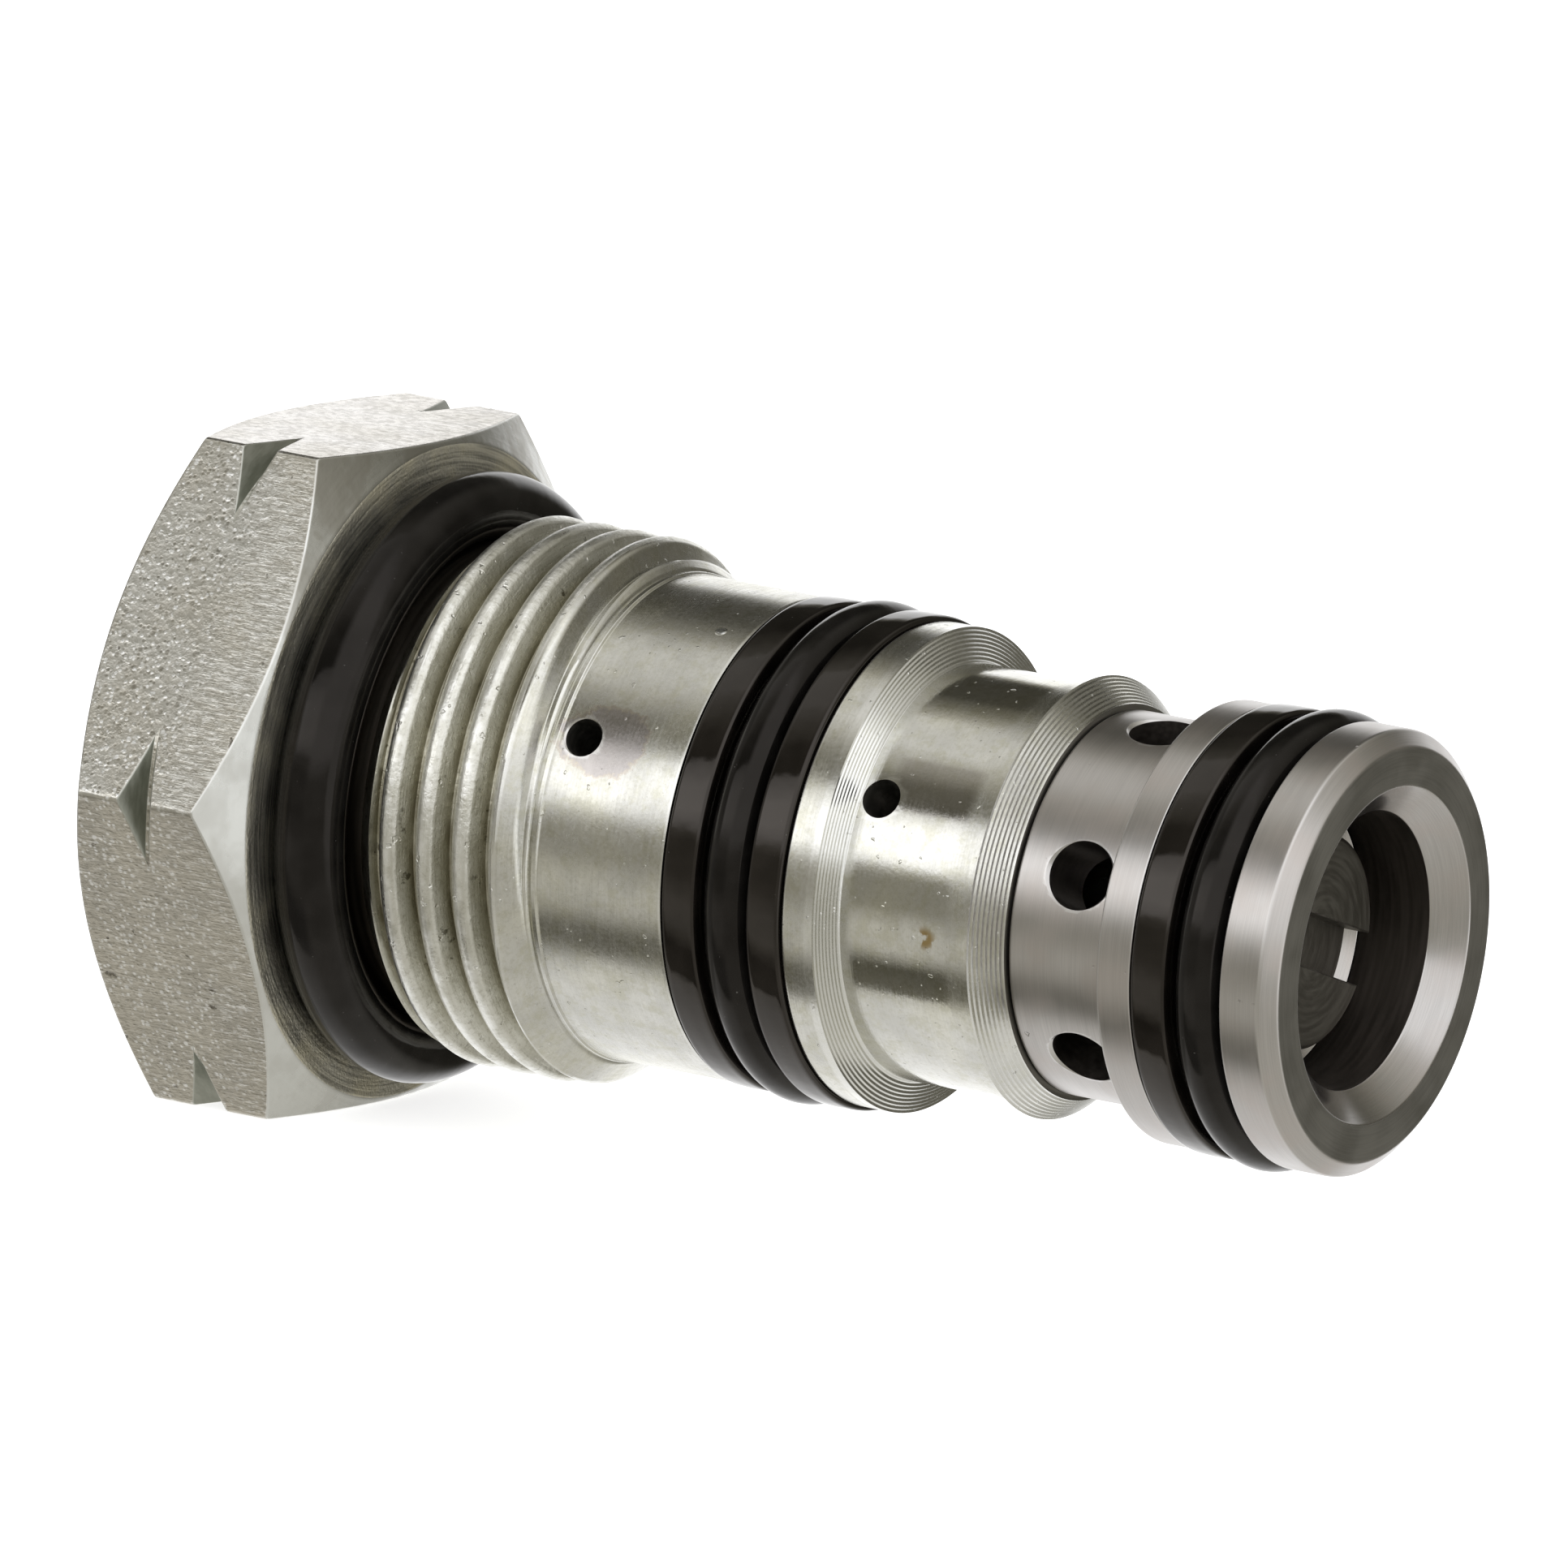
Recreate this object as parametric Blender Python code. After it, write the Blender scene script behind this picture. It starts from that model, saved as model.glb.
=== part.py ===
"""A three-port screw-in cartridge valve: a pilot-to-open check valve with an M20 x 1.5 thread.

The valve lies along +X from its hex head to its nose. The origin is the centre of the head's outer end face,
+Z is up, and two of the hex flats face +Z and -Z. Sizes are in millimetres until MM turns them into metres.
Angles round the axis are in degrees from -Y (the front) towards +Z (the top).
"""

import math

import bmesh
import bpy
from mathutils import Matrix, Vector

MM = 0.001
GAP = 0.3
SEGMENTS = 48
# Share of a facet by which round pieces are turned, so that a facet faces straight up and straight down.
FACET_PHASE = 0.5

# Hex head
HEX_ACROSS_FLATS = 24.0
HEX_HEIGHT = 7.15
HEX_CHAMFER = math.radians(30)
HEAD_FACE_R = 11.6
SEAT_FACE_R = 11.8
BAR_R = 14.0
NOTCH_X = 3.6
NOTCH_FLOOR_R = 12.75
NOTCH_HALF_ANGLE = math.radians(30)
NOTCH_FLOOR_WIDTH = 0.15

# Port thread, M20 x 1.5
THREAD_MAJOR_R = 9.9
THREAD_MINOR_R = 8.98
THREAD_PITCH = 1.5
THREAD_START_X = 9.9
THREAD_END_X = 16.95
THREAD_ROOT_X = 15.32
THREAD_ROOT_ANGLE = 20.0
THREAD_RELIEF_R = 8.55
THREAD_RELIEF_END_X = 9.7
LEAD_R = 8.95
LEAD_SLOPE = 1.12
UNDERCUT = (17.05, 8.8)

# Outside of the body, from the thread to the cage
SHANK_R = 8.75
SHANK_START_X = 17.35
MID_GROOVE = (22.4, 27.35)
MID_GROOVE_R = 7.0
LAND_R = 8.72
LAND_END_X = 28.6
WAIST_START_X = 29.03
WAIST_R = 7.5
WAIST_END_X = 34.42
FLANGE_START_X = 34.47
FLANGE_R = 7.95
BODY_END_X = 35.5
BODY_END_R = 7.1

# Cross holes
PILOT_PORT = {"x": 18.2, "angle": 27.6, "radius": 0.7}
VENT_PORT = {"x": 29.66, "angle": 28.9, "radius": 0.73}
SIDE_PORT = {"x": 38.0, "angle": 19.0, "radius": 1.25, "count": 6}

# Bores of the body
PILOT_CHAMBER = (15.0, 19.3)
PILOT_CHAMBER_R = 2.2
DRILL_TIP = 1.3
PISTON_BORE_R = 5.2
CAGE_BORE_R = 6.0
CAGE_BORE_X = 30.2

# Cage, the sleeve that carries the nose
CAGE_TAIL_X = CAGE_BORE_X + GAP
CAGE_TAIL_R = CAGE_BORE_R - GAP
CAGE_SHOULDER_X = BODY_END_X + GAP
CAGE_R = 6.9
CAGE_FLANGE = (39.75, 41.1)
NOSE_R = 8.0
NOSE_GROOVE_END_X = 44.75
NOSE_GROOVE_R = 6.2
NOSE_CHAMFER_X = 46.3
NOSE_FACE_X = 46.83
NOSE_FACE_R = 7.41
COUNTERSINK_R = 6.05
COUNTERSINK_X = 45.8
NOSE_BORE_R = 4.97
SEAT_SHOULDER_X = 39.6
CAGE_INNER_R = 4.2
BUSH_STOP = (34.9, 35.6)
BUSH_STOP_R = 3.7
RING_GROOVE = (30.85, 31.75)
RING_GROOVE_R = 4.55
CAGE_SEAL_GROOVE = (32.4, 33.8)
CAGE_SEAL_GROOVE_R = 4.85

# Seals: side clearance in a groove, O-rings as (centre radius, section), flat rings as (width, inner, outer)
SEAL_SPACE = 0.2
SEAL_EDGE = 0.1
HEAD_O_RING_X = 8.55
HEAD_O_RING = (9.95, 2.2)
MID_O_RING = (8.17, 1.75)
MID_BACKUP_HEAD_SIDE = (1.2, 7.3, 8.85)
MID_BACKUP_NOSE_SIDE = (1.2, 7.3, 8.92)
NOSE_BACKUP = (1.25, 6.5, 8.08)
NOSE_O_RING = (7.37, 1.76)
NOSE_O_RING_X = 43.66
CAGE_O_RING = (5.4, 0.8)

# Pieces held still inside
WASHER_THICKNESS = 0.6
WASHER_R = 4.9
SEAT_INNER_R = 3.1
SEAT_OUTER_R = 4.67
SEAT_END_X = 41.2
SEAT_CHAMFER = 0.3
SEAT_RIM = (42.3, 43.0)
SEAT_RIM_R = 4.15
RETAINER = (31.05, 31.55)
RETAINER_R = (3.3, 4.3)
RETAINER_OPENING = 40

# Pilot piston
PISTON_X = PILOT_CHAMBER[1] + GAP
PISTON_R = PISTON_BORE_R - GAP
PISTON_HEAD_END_X = 24.0
PISTON_GROOVE = (20.5, 23.3)
PISTON_GROOVE_R = 3.35
ROD_R = 2.5
ROD_STEP_X = 34.8
ROD_TIP_R = 2.0
ROD_END_X = 40.15
ROD_BORE_R = 1.9
ROD_BORE_END_X = 33.0
ROD_TIP_BORE_R = 1.2
PISTON_CHAMFER = 0.4
ROD_STEP_LENGTH = 0.5
PLUG = (19.9, 23.0)
PLUG_R = 1.6
PLUG_CHAMFER = 0.3
PISTON_O_RING_X = 21.47
PISTON_O_RING = (4.3, 1.4)
PISTON_BACKUP = (22.43, 23.03)
PISTON_BACKUP_R = (3.6, 4.95)

# Check poppet
POPPET_X = ROD_END_X + GAP
POPPET_BACK_R = 2.3
POPPET_R = 3.85
POPPET_FACE_X = 44.1
POPPET_BEVEL = 0.15
SLOT_WIDTH = 1.9
SLOT_DEPTH = 1.1
SLOT_TILT = math.radians(-17)
STEM_R = 0.9
STEM_START_X = 24.9
STEM_END_X = 42.2
COLLAR = (25.2, 26.4)
COLLAR_R = 1.6

# Springs
RETURN_SPRING = {"start": 24.3, "end": 29.3, "mean_r": 4.0, "wire_r": 0.35, "turns": 4.5, "steps": 18}
CHECK_SPRING = {"start": 26.7, "end": 32.7, "mean_r": 1.45, "wire_r": 0.2, "turns": 9, "steps": 14}

STEEL_ZINC = ("zinc_plated_steel", (0.62, 0.62, 0.58), 0.32, 1.0)
STEEL_GROUND = ("ground_steel", (0.45, 0.43, 0.42), 0.3, 1.0)
STEEL_HARDENED = ("hardened_steel", (0.4, 0.39, 0.38), 0.28, 1.0)
STEEL_SPRING = ("spring_steel", (0.36, 0.35, 0.34), 0.35, 1.0)
BRONZE = ("bronze", (0.56, 0.4, 0.22), 0.4, 1.0)
SEAL_RUBBER = ("seal_rubber", (0.02, 0.02, 0.02), 0.25, 0.0)
SEAL_PLASTIC = ("backup_plastic", (0.025, 0.024, 0.023), 0.18, 0.0)


def clear_scene():
    """Removes what the startup file holds."""
    for obj in list(bpy.data.objects):
        bpy.data.objects.remove(obj, do_unlink=True)


def material(look):
    """The material of a (name, colour, roughness, metallic) look, made once."""
    name, colour, roughness, metallic = look
    made = bpy.data.materials.get(name)
    if made:
        return made
    made = bpy.data.materials.new(name)
    made.use_nodes = True
    shader = made.node_tree.nodes["Principled BSDF"]
    shader.inputs["Base Color"].default_value = (*colour, 1.0)
    shader.inputs["Roughness"].default_value = roughness
    shader.inputs["Metallic"].default_value = metallic
    return made


def around(x, radius, angle):
    """The point at a distance from the axis, at an angle from the front towards the top."""
    return (x * MM, -radius * math.cos(angle) * MM, radius * math.sin(angle) * MM)


def mesh_object(name, form, look, station):
    """Turns a bmesh into a smooth-shaded object whose origin is on the valve's axis at x = station."""
    bmesh.ops.remove_doubles(form, verts=form.verts, dist=1e-6)
    bmesh.ops.dissolve_degenerate(form, edges=form.edges, dist=1e-7)
    bmesh.ops.recalc_face_normals(form, faces=form.faces)
    bmesh.ops.translate(form, verts=form.verts, vec=(-station * MM, 0, 0))
    mesh = bpy.data.meshes.new(name)
    form.to_mesh(mesh)
    form.free()
    mesh.shade_smooth()
    mesh.set_sharp_from_angle(angle=math.radians(35))
    mesh.materials.append(material(look))
    obj = bpy.data.objects.new(name, mesh)
    obj.location.x = station * MM
    bpy.context.collection.objects.link(obj)
    return obj


def bridge(form, row, following, closed=True):
    """Faces between two rows of vertices; a row of one vertex is a point on the axis."""
    count = max(len(row), len(following))
    for i in range(count if closed else count - 1):
        j = (i + 1) % count
        a, b = row[i % len(row)], row[j % len(row)]
        c, d = following[j % len(following)], following[i % len(following)]
        corners = [v for k, v in enumerate((a, b, c, d)) if v not in (a, b, c, d)[:k]]
        if len(corners) > 2:
            form.faces.new(corners)


def skin(name, rows, look, segments=SEGMENTS, phase=FACET_PHASE):
    """A closed solid through rows of (x, radius): one pair for a plain turned ring, or a list of pairs, one
    for each step of a full turn, both ends included. Vertices that meet at the seam are merged afterwards.

    Rows that start and end on the axis close there; otherwise the last row joins the first, as in a ring.
    """
    form = bmesh.new()
    rings = []
    for row in rows:
        on_axis = not isinstance(row, list) and row[1] == 0
        pairs = row if isinstance(row, list) else [row] * (1 if on_axis else segments + 1)
        angles = [2 * math.pi * (i + phase) / segments for i in range(len(pairs))]
        rings.append([form.verts.new(around(x, r, angle)) for (x, r), angle in zip(pairs, angles)])
    open_ended = len(rings[0]) == 1 and len(rings[-1]) == 1
    for ring, following in zip(rings, rings[1:] + ([] if open_ended else rings[:1])):
        bridge(form, ring, following, closed=False)
    xs = [row[0] for row in rows if not isinstance(row, list)]
    return mesh_object(name, form, look, min(xs))


def arc(centre, radius, start, end, steps):
    """Points (x, r) of an arc in the profile plane; angles in degrees from +x towards larger r."""
    angles = [math.radians(start + (end - start) * i / steps) for i in range(steps + 1)]
    return [(centre[0] + radius * math.cos(a), centre[1] + radius * math.sin(a)) for a in angles]


def o_ring(name, x, centre_r, section):
    """A round-section ring whose section is centred at (x, centre_r)."""
    return skin(name, arc((x, centre_r), section / 2, 0, 315, 7), SEAL_RUBBER, 40)


def flat_ring(name, look, start, end, inner_r, outer_r, edge=0.0):
    """A plain ring between two stations, with its outer edges broken by edge."""
    rows = [(start, inner_r), (start, outer_r - edge), (start + edge, outer_r)]
    rows += [(end - edge, outer_r), (end, outer_r - edge), (end, inner_r)]
    return skin(name, rows, look)


def spring(name, start, end, mean_r, wire_r, turns, steps):
    """A compression spring with one closed coil at each end, as a swept six-sided wire."""
    sides = 6
    free = end - start - 2 * wire_r
    closed = 2.1 * wire_r
    form = bmesh.new()
    rings = []
    for i in range(int(turns * steps) + 1):
        turn = i / steps
        active = min(max(turn - 1, 0), turns - 2) / (turns - 2)
        ends = min(turn, 1) + max(turn - turns + 1, 0)
        x = start + wire_r + closed * ends + (free - 2 * closed) * active
        angle = 2 * math.pi * turn
        section = arc((x, mean_r), wire_r, 0, 360 - 360 / sides, sides - 1)
        rings.append([form.verts.new(around(px, pr, angle)) for px, pr in section])
    for ring, following in zip(rings, rings[1:]):
        bridge(form, ring, following)
    form.faces.new(rings[0])
    form.faces.new(rings[-1])
    return mesh_object(name, form, STEEL_SPRING, start)


def thread_rows():
    """Rows that follow the thread's helix, limited by the relief at its start and the lead-in at its end."""
    crest, flank = THREAD_PITCH / 8, THREAD_PITCH * 5 / 16
    root = THREAD_PITCH - crest - 2 * flank
    top = root / 2 + flank
    steps = [(-root / 2, False), (root / 2, False), (top, True), (top + crest, True)]
    first = -math.ceil((THREAD_ROOT_X - THREAD_START_X) / THREAD_PITCH) - 1
    last = math.ceil((THREAD_END_X - THREAD_ROOT_X) / THREAD_PITCH) + 1
    rows = []
    for turn in range(first, last + 1):
        for offset, on_crest in steps:
            row = []
            for i in range(SEGMENTS + 1):
                angle = 360 * (i + FACET_PHASE) / SEGMENTS
                helix = THREAD_PITCH * (THREAD_ROOT_ANGLE - angle) / 360
                x = THREAD_ROOT_X + turn * THREAD_PITCH + offset + helix
                x = min(max(x, THREAD_START_X), THREAD_END_X)
                start_limit = THREAD_RELIEF_R + x - THREAD_START_X
                lead_limit = LEAD_R + (THREAD_END_X - x) * LEAD_SLOPE
                form_r = THREAD_MAJOR_R if on_crest else THREAD_MINOR_R
                row.append((x, min(form_r, start_limit, lead_limit)))
            rows.append(row)
    return rows


def body_profile():
    """Rows of the turned blank, from the head's end face round the outside and back through the bores."""
    rise = math.tan(HEX_CHAMFER)
    notch_half = NOTCH_FLOOR_WIDTH / 2
    notch_top = notch_half + (BAR_R - NOTCH_FLOOR_R) * math.tan(NOTCH_HALF_ANGLE)
    rows = [(0, 0), (0, HEAD_FACE_R), ((BAR_R - HEAD_FACE_R) * rise, BAR_R)]
    rows += [(NOTCH_X - notch_top, BAR_R), (NOTCH_X - notch_half, NOTCH_FLOOR_R)]
    rows += [(NOTCH_X + notch_half, NOTCH_FLOOR_R), (NOTCH_X + notch_top, BAR_R)]
    rows += [(HEX_HEIGHT - (BAR_R - SEAT_FACE_R) * rise, BAR_R), (HEX_HEIGHT, SEAT_FACE_R)]
    rows += [(HEX_HEIGHT, THREAD_RELIEF_R), (THREAD_RELIEF_END_X, THREAD_RELIEF_R)]
    rows += thread_rows()
    rows += [UNDERCUT, (SHANK_START_X, SHANK_R), (MID_GROOVE[0], SHANK_R)]
    rows += [(MID_GROOVE[0], MID_GROOVE_R), (MID_GROOVE[1], MID_GROOVE_R), (MID_GROOVE[1], LAND_R)]
    rows += [(LAND_END_X, LAND_R), (WAIST_START_X, WAIST_R)]
    rows += [(WAIST_END_X, WAIST_R), (FLANGE_START_X, FLANGE_R)]
    rows += [(BODY_END_X, BODY_END_R), (BODY_END_X, CAGE_BORE_R), (CAGE_BORE_X, CAGE_BORE_R)]
    rows += [(CAGE_BORE_X, PISTON_BORE_R), (PILOT_CHAMBER[1], PISTON_BORE_R)]
    rows += [(PILOT_CHAMBER[1], PILOT_CHAMBER_R), (PILOT_CHAMBER[0], PILOT_CHAMBER_R)]
    rows += [(PILOT_CHAMBER[0] - DRILL_TIP, 0)]
    return rows


def hex_prism():
    """A hexagonal bar with flats on +Z and -Z, longer than the valve."""
    corner_r = HEX_ACROSS_FLATS / math.sqrt(3)
    ends = (-1, NOSE_FACE_X + 1)
    rows = [(ends[0], 0), (ends[0], corner_r), (ends[1], corner_r), (ends[1], 0)]
    return skin("hex_bar_cutter", rows, STEEL_ZINC, segments=6, phase=0)


def drills(name, port, inner_r, outer_r, angles):
    """Straight drills that point at the axis, in one cutter."""
    form = bmesh.new()
    depth = (outer_r - inner_r) * MM
    for angle in map(math.radians, angles):
        centre = Vector(around(port["x"], (inner_r + outer_r) / 2, angle))
        pointing = centre.copy()
        pointing.x = 0
        place = Matrix.Translation(centre) @ pointing.to_track_quat("Z", "X").to_matrix().to_4x4()
        radius = port["radius"] * MM
        bmesh.ops.create_cone(
            form, cap_ends=True, segments=20, radius1=radius, radius2=radius, depth=depth, matrix=place
        )
    return mesh_object(name, form, STEEL_ZINC, port["x"])


def cut(target, cutter, operation="DIFFERENCE"):
    """Adds a Boolean with a helper that stays out of the render."""
    cutter.hide_render = True
    cutter.display_type = "WIRE"
    modifier = target.modifiers.new(cutter.name, "BOOLEAN")
    modifier.operation = operation
    modifier.solver = "EXACT"
    modifier.object = cutter


def valve_body():
    body = skin("valve_body", body_profile(), STEEL_ZINC)
    cut(body, hex_prism(), "INTERSECT")
    pilot_angles = (PILOT_PORT["angle"], PILOT_PORT["angle"] + 180)
    cut(body, drills("pilot_port_drill", PILOT_PORT, 1.0, SHANK_R + 1, pilot_angles))
    cut(body, drills("vent_port_drill", VENT_PORT, 4.0, LAND_R + 1, (VENT_PORT["angle"],)))
    return body


def valve_cage():
    rows = [(CAGE_TAIL_X, CAGE_INNER_R), (CAGE_TAIL_X, CAGE_TAIL_R)]
    rows += [(CAGE_SEAL_GROOVE[0], CAGE_TAIL_R), (CAGE_SEAL_GROOVE[0], CAGE_SEAL_GROOVE_R)]
    rows += [(CAGE_SEAL_GROOVE[1], CAGE_SEAL_GROOVE_R), (CAGE_SEAL_GROOVE[1], CAGE_TAIL_R)]
    rows += [(CAGE_SHOULDER_X, CAGE_TAIL_R), (CAGE_SHOULDER_X, CAGE_R), (CAGE_FLANGE[0], CAGE_R)]
    rows += [(CAGE_FLANGE[0], FLANGE_R), (CAGE_FLANGE[1], FLANGE_R), (CAGE_FLANGE[1], NOSE_GROOVE_R)]
    rows += [(NOSE_GROOVE_END_X, NOSE_GROOVE_R), (NOSE_GROOVE_END_X, NOSE_R), (NOSE_CHAMFER_X, NOSE_R)]
    rows += [(NOSE_FACE_X, NOSE_FACE_R), (NOSE_FACE_X, COUNTERSINK_R), (COUNTERSINK_X, NOSE_BORE_R)]
    rows += [(SEAT_SHOULDER_X, NOSE_BORE_R), (SEAT_SHOULDER_X, CAGE_INNER_R)]
    rows += [(BUSH_STOP[1], CAGE_INNER_R), (BUSH_STOP[1], BUSH_STOP_R)]
    rows += [(BUSH_STOP[0], BUSH_STOP_R), (BUSH_STOP[0], CAGE_INNER_R)]
    rows += [(RING_GROOVE[1], CAGE_INNER_R), (RING_GROOVE[1], RING_GROOVE_R)]
    rows += [(RING_GROOVE[0], RING_GROOVE_R), (RING_GROOVE[0], CAGE_INNER_R)]
    cage = skin("valve_cage", rows, STEEL_GROUND)
    angles = [SIDE_PORT["angle"] + 360 * i / SIDE_PORT["count"] for i in range(SIDE_PORT["count"])]
    cut(cage, drills("side_port_drill", SIDE_PORT, 3.0, CAGE_R + 0.6, angles))
    return cage


def outer_seals():
    """The rings that seal the valve in its cavity."""
    o_ring("head_o_ring", HEAD_O_RING_X, *HEAD_O_RING)
    start, end = MID_GROOVE[0] + SEAL_SPACE, MID_GROOVE[1] - SEAL_SPACE
    backup_ring("mid_backup_ring_head_side", start, *MID_BACKUP_HEAD_SIDE)
    o_ring("mid_o_ring", (start + end) / 2, *MID_O_RING)
    backup_ring("mid_backup_ring_nose_side", end - MID_BACKUP_NOSE_SIDE[0], *MID_BACKUP_NOSE_SIDE)
    backup_ring("nose_backup_ring", CAGE_FLANGE[1] + SEAL_SPACE, *NOSE_BACKUP)
    o_ring("nose_o_ring", NOSE_O_RING_X, *NOSE_O_RING)


def backup_ring(name, start, width, inner_r, outer_r):
    """The flat ring beside an O-ring, from the station where it starts."""
    return flat_ring(name, SEAL_PLASTIC, start, start + width, inner_r, outer_r, SEAL_EDGE)


def fixed_inner_parts():
    """What is held still inside the body and the cage."""
    o_ring("cage_o_ring", sum(CAGE_SEAL_GROOVE) / 2, *CAGE_O_RING)
    rod_hole_r = ROD_R + GAP
    washer_x = CAGE_BORE_X - WASHER_THICKNESS
    flat_ring("spring_seat_washer", STEEL_HARDENED, washer_x, CAGE_BORE_X, rod_hole_r, WASHER_R)
    bush = (RING_GROOVE[1] + 0.1, BUSH_STOP[0] - GAP)
    flat_ring("guide_bush", BRONZE, *bush, rod_hole_r, CAGE_INNER_R - GAP, 0.15)
    retaining_ring()
    start, chamfer = SEAT_SHOULDER_X + GAP, SEAT_CHAMFER
    seat = [(start, SEAT_INNER_R), (start, SEAT_OUTER_R), (SEAT_RIM[1], SEAT_OUTER_R)]
    seat += [(SEAT_RIM[0], SEAT_RIM_R), (SEAT_END_X, SEAT_RIM_R)]
    seat += [(SEAT_END_X, SEAT_INNER_R + chamfer), (SEAT_END_X - chamfer, SEAT_INNER_R)]
    skin("seat_ring", seat, STEEL_HARDENED)


def retaining_ring():
    """An open ring that holds the guide bush in the cage."""
    start, end = RETAINER
    inner_r, outer_r = RETAINER_R
    opening, steps = RETAINER_OPENING, 32
    form = bmesh.new()
    rings = []
    for i in range(steps + 1):
        angle = math.radians(opening / 2 + (360 - opening) * i / steps)
        section = ((start, inner_r), (start, outer_r), (end, outer_r), (end, inner_r))
        rings.append([form.verts.new(around(x, r, angle)) for x, r in section])
    for ring, following in zip(rings, rings[1:]):
        bridge(form, ring, following)
    form.faces.new(rings[0])
    form.faces.new(rings[-1])
    return mesh_object("bush_retaining_ring", form, STEEL_SPRING, start)


def pilot_piston():
    """The piston with its hollow rod, and what is fixed to it."""
    rows = [(PISTON_X, ROD_BORE_R), (PISTON_X, PISTON_R - PISTON_CHAMFER)]
    rows += [(PISTON_X + PISTON_CHAMFER, PISTON_R)]
    rows += [(PISTON_GROOVE[0], PISTON_R), (PISTON_GROOVE[0], PISTON_GROOVE_R)]
    rows += [(PISTON_GROOVE[1], PISTON_GROOVE_R), (PISTON_GROOVE[1], PISTON_R)]
    rows += [(PISTON_HEAD_END_X, PISTON_R), (PISTON_HEAD_END_X, ROD_R), (ROD_STEP_X, ROD_R)]
    rows += [(ROD_STEP_X + ROD_STEP_LENGTH, ROD_TIP_R), (ROD_END_X, ROD_TIP_R)]
    rows += [(ROD_END_X, ROD_TIP_BORE_R)]
    rows += [(ROD_BORE_END_X, ROD_TIP_BORE_R), (ROD_BORE_END_X, ROD_BORE_R)]
    piston = skin("pilot_piston", rows, STEEL_HARDENED)
    plug = [(PLUG[0], 0), (PLUG[0], PLUG_R - PLUG_CHAMFER), (PLUG[0] + PLUG_CHAMFER, PLUG_R)]
    plug += [(PLUG[1], PLUG_R), (PLUG[1], 0)]
    return [
        piston,
        skin("piston_plug", plug, STEEL_HARDENED, segments=32),
        flat_ring("pilot_piston_backup_ring", SEAL_PLASTIC, *PISTON_BACKUP, *PISTON_BACKUP_R),
        o_ring("pilot_piston_o_ring", PISTON_O_RING_X, *PISTON_O_RING),
    ]


def check_poppet():
    """The slotted poppet on its stem, with the collar that its spring pushes."""
    cone = POPPET_R - POPPET_BACK_R
    bore = STEM_R + GAP
    rows = [(STEM_END_X + GAP, 0), (STEM_END_X + GAP, bore), (POPPET_X, bore)]
    rows += [(POPPET_X, POPPET_BACK_R), (POPPET_X + cone, POPPET_R)]
    rows += [(POPPET_FACE_X - POPPET_BEVEL, POPPET_R)]
    rows += [(POPPET_FACE_X, POPPET_R - POPPET_BEVEL), (POPPET_FACE_X, 0)]
    poppet = skin("check_poppet", rows, STEEL_HARDENED)
    cut(poppet, slot_cutter())
    stem = [(STEM_START_X, 0), (STEM_START_X, STEM_R), (STEM_END_X, STEM_R), (STEM_END_X, 0)]
    collar = flat_ring("stem_collar", STEEL_HARDENED, *COLLAR, bore, COLLAR_R, 0.1)
    return [poppet, skin("poppet_stem", stem, STEEL_HARDENED, segments=24), collar]


def slot_cutter():
    """The bar that leaves the screwdriver slot across the poppet's end face."""
    form = bmesh.new()
    bmesh.ops.create_cube(form, size=MM)
    for vertex in form.verts:
        vertex.co.x *= 2 * SLOT_DEPTH
        vertex.co.y *= 4 * POPPET_R
        vertex.co.z *= SLOT_WIDTH
        vertex.co.x += POPPET_FACE_X * MM
    cutter = mesh_object("poppet_slot_cutter", form, STEEL_HARDENED, POPPET_FACE_X)
    cutter.rotation_euler.x = SLOT_TILT
    return cutter


def carriage(name, x, riders):
    """An empty on the valve's axis that carries the pieces of one moving assembly."""
    empty = bpy.data.objects.new(name, None)
    empty.empty_display_size = 5 * MM
    empty.location.x = x * MM
    bpy.context.collection.objects.link(empty)
    for rider in riders:
        rider.parent = empty
        rider.location.x -= x * MM
    return empty


def build():
    clear_scene()
    valve_body()
    valve_cage()
    outer_seals()
    fixed_inner_parts()
    spring("pilot_return_spring", **RETURN_SPRING)
    check_spring = spring("check_spring", **CHECK_SPRING)
    piston = carriage("pilot_piston_slide", PISTON_X, [*pilot_piston(), check_spring])
    poppet = carriage("check_poppet_slide", POPPET_X, check_poppet())
    poppet.parent = piston
    poppet.location.x -= PISTON_X * MM


build()
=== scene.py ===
"""Looks of the cartridge valve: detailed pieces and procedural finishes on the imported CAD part.

Sizes are millimetres in the valve's own frame until MM turns them into metres. The axis is X, from the hex
head's end face at x = 0 to the nose. Angles round the axis are in degrees from -Y (the front) towards +Z.
"""

import math

import bmesh
import bpy
import numpy as np
from mathutils import Matrix, Vector


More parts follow.
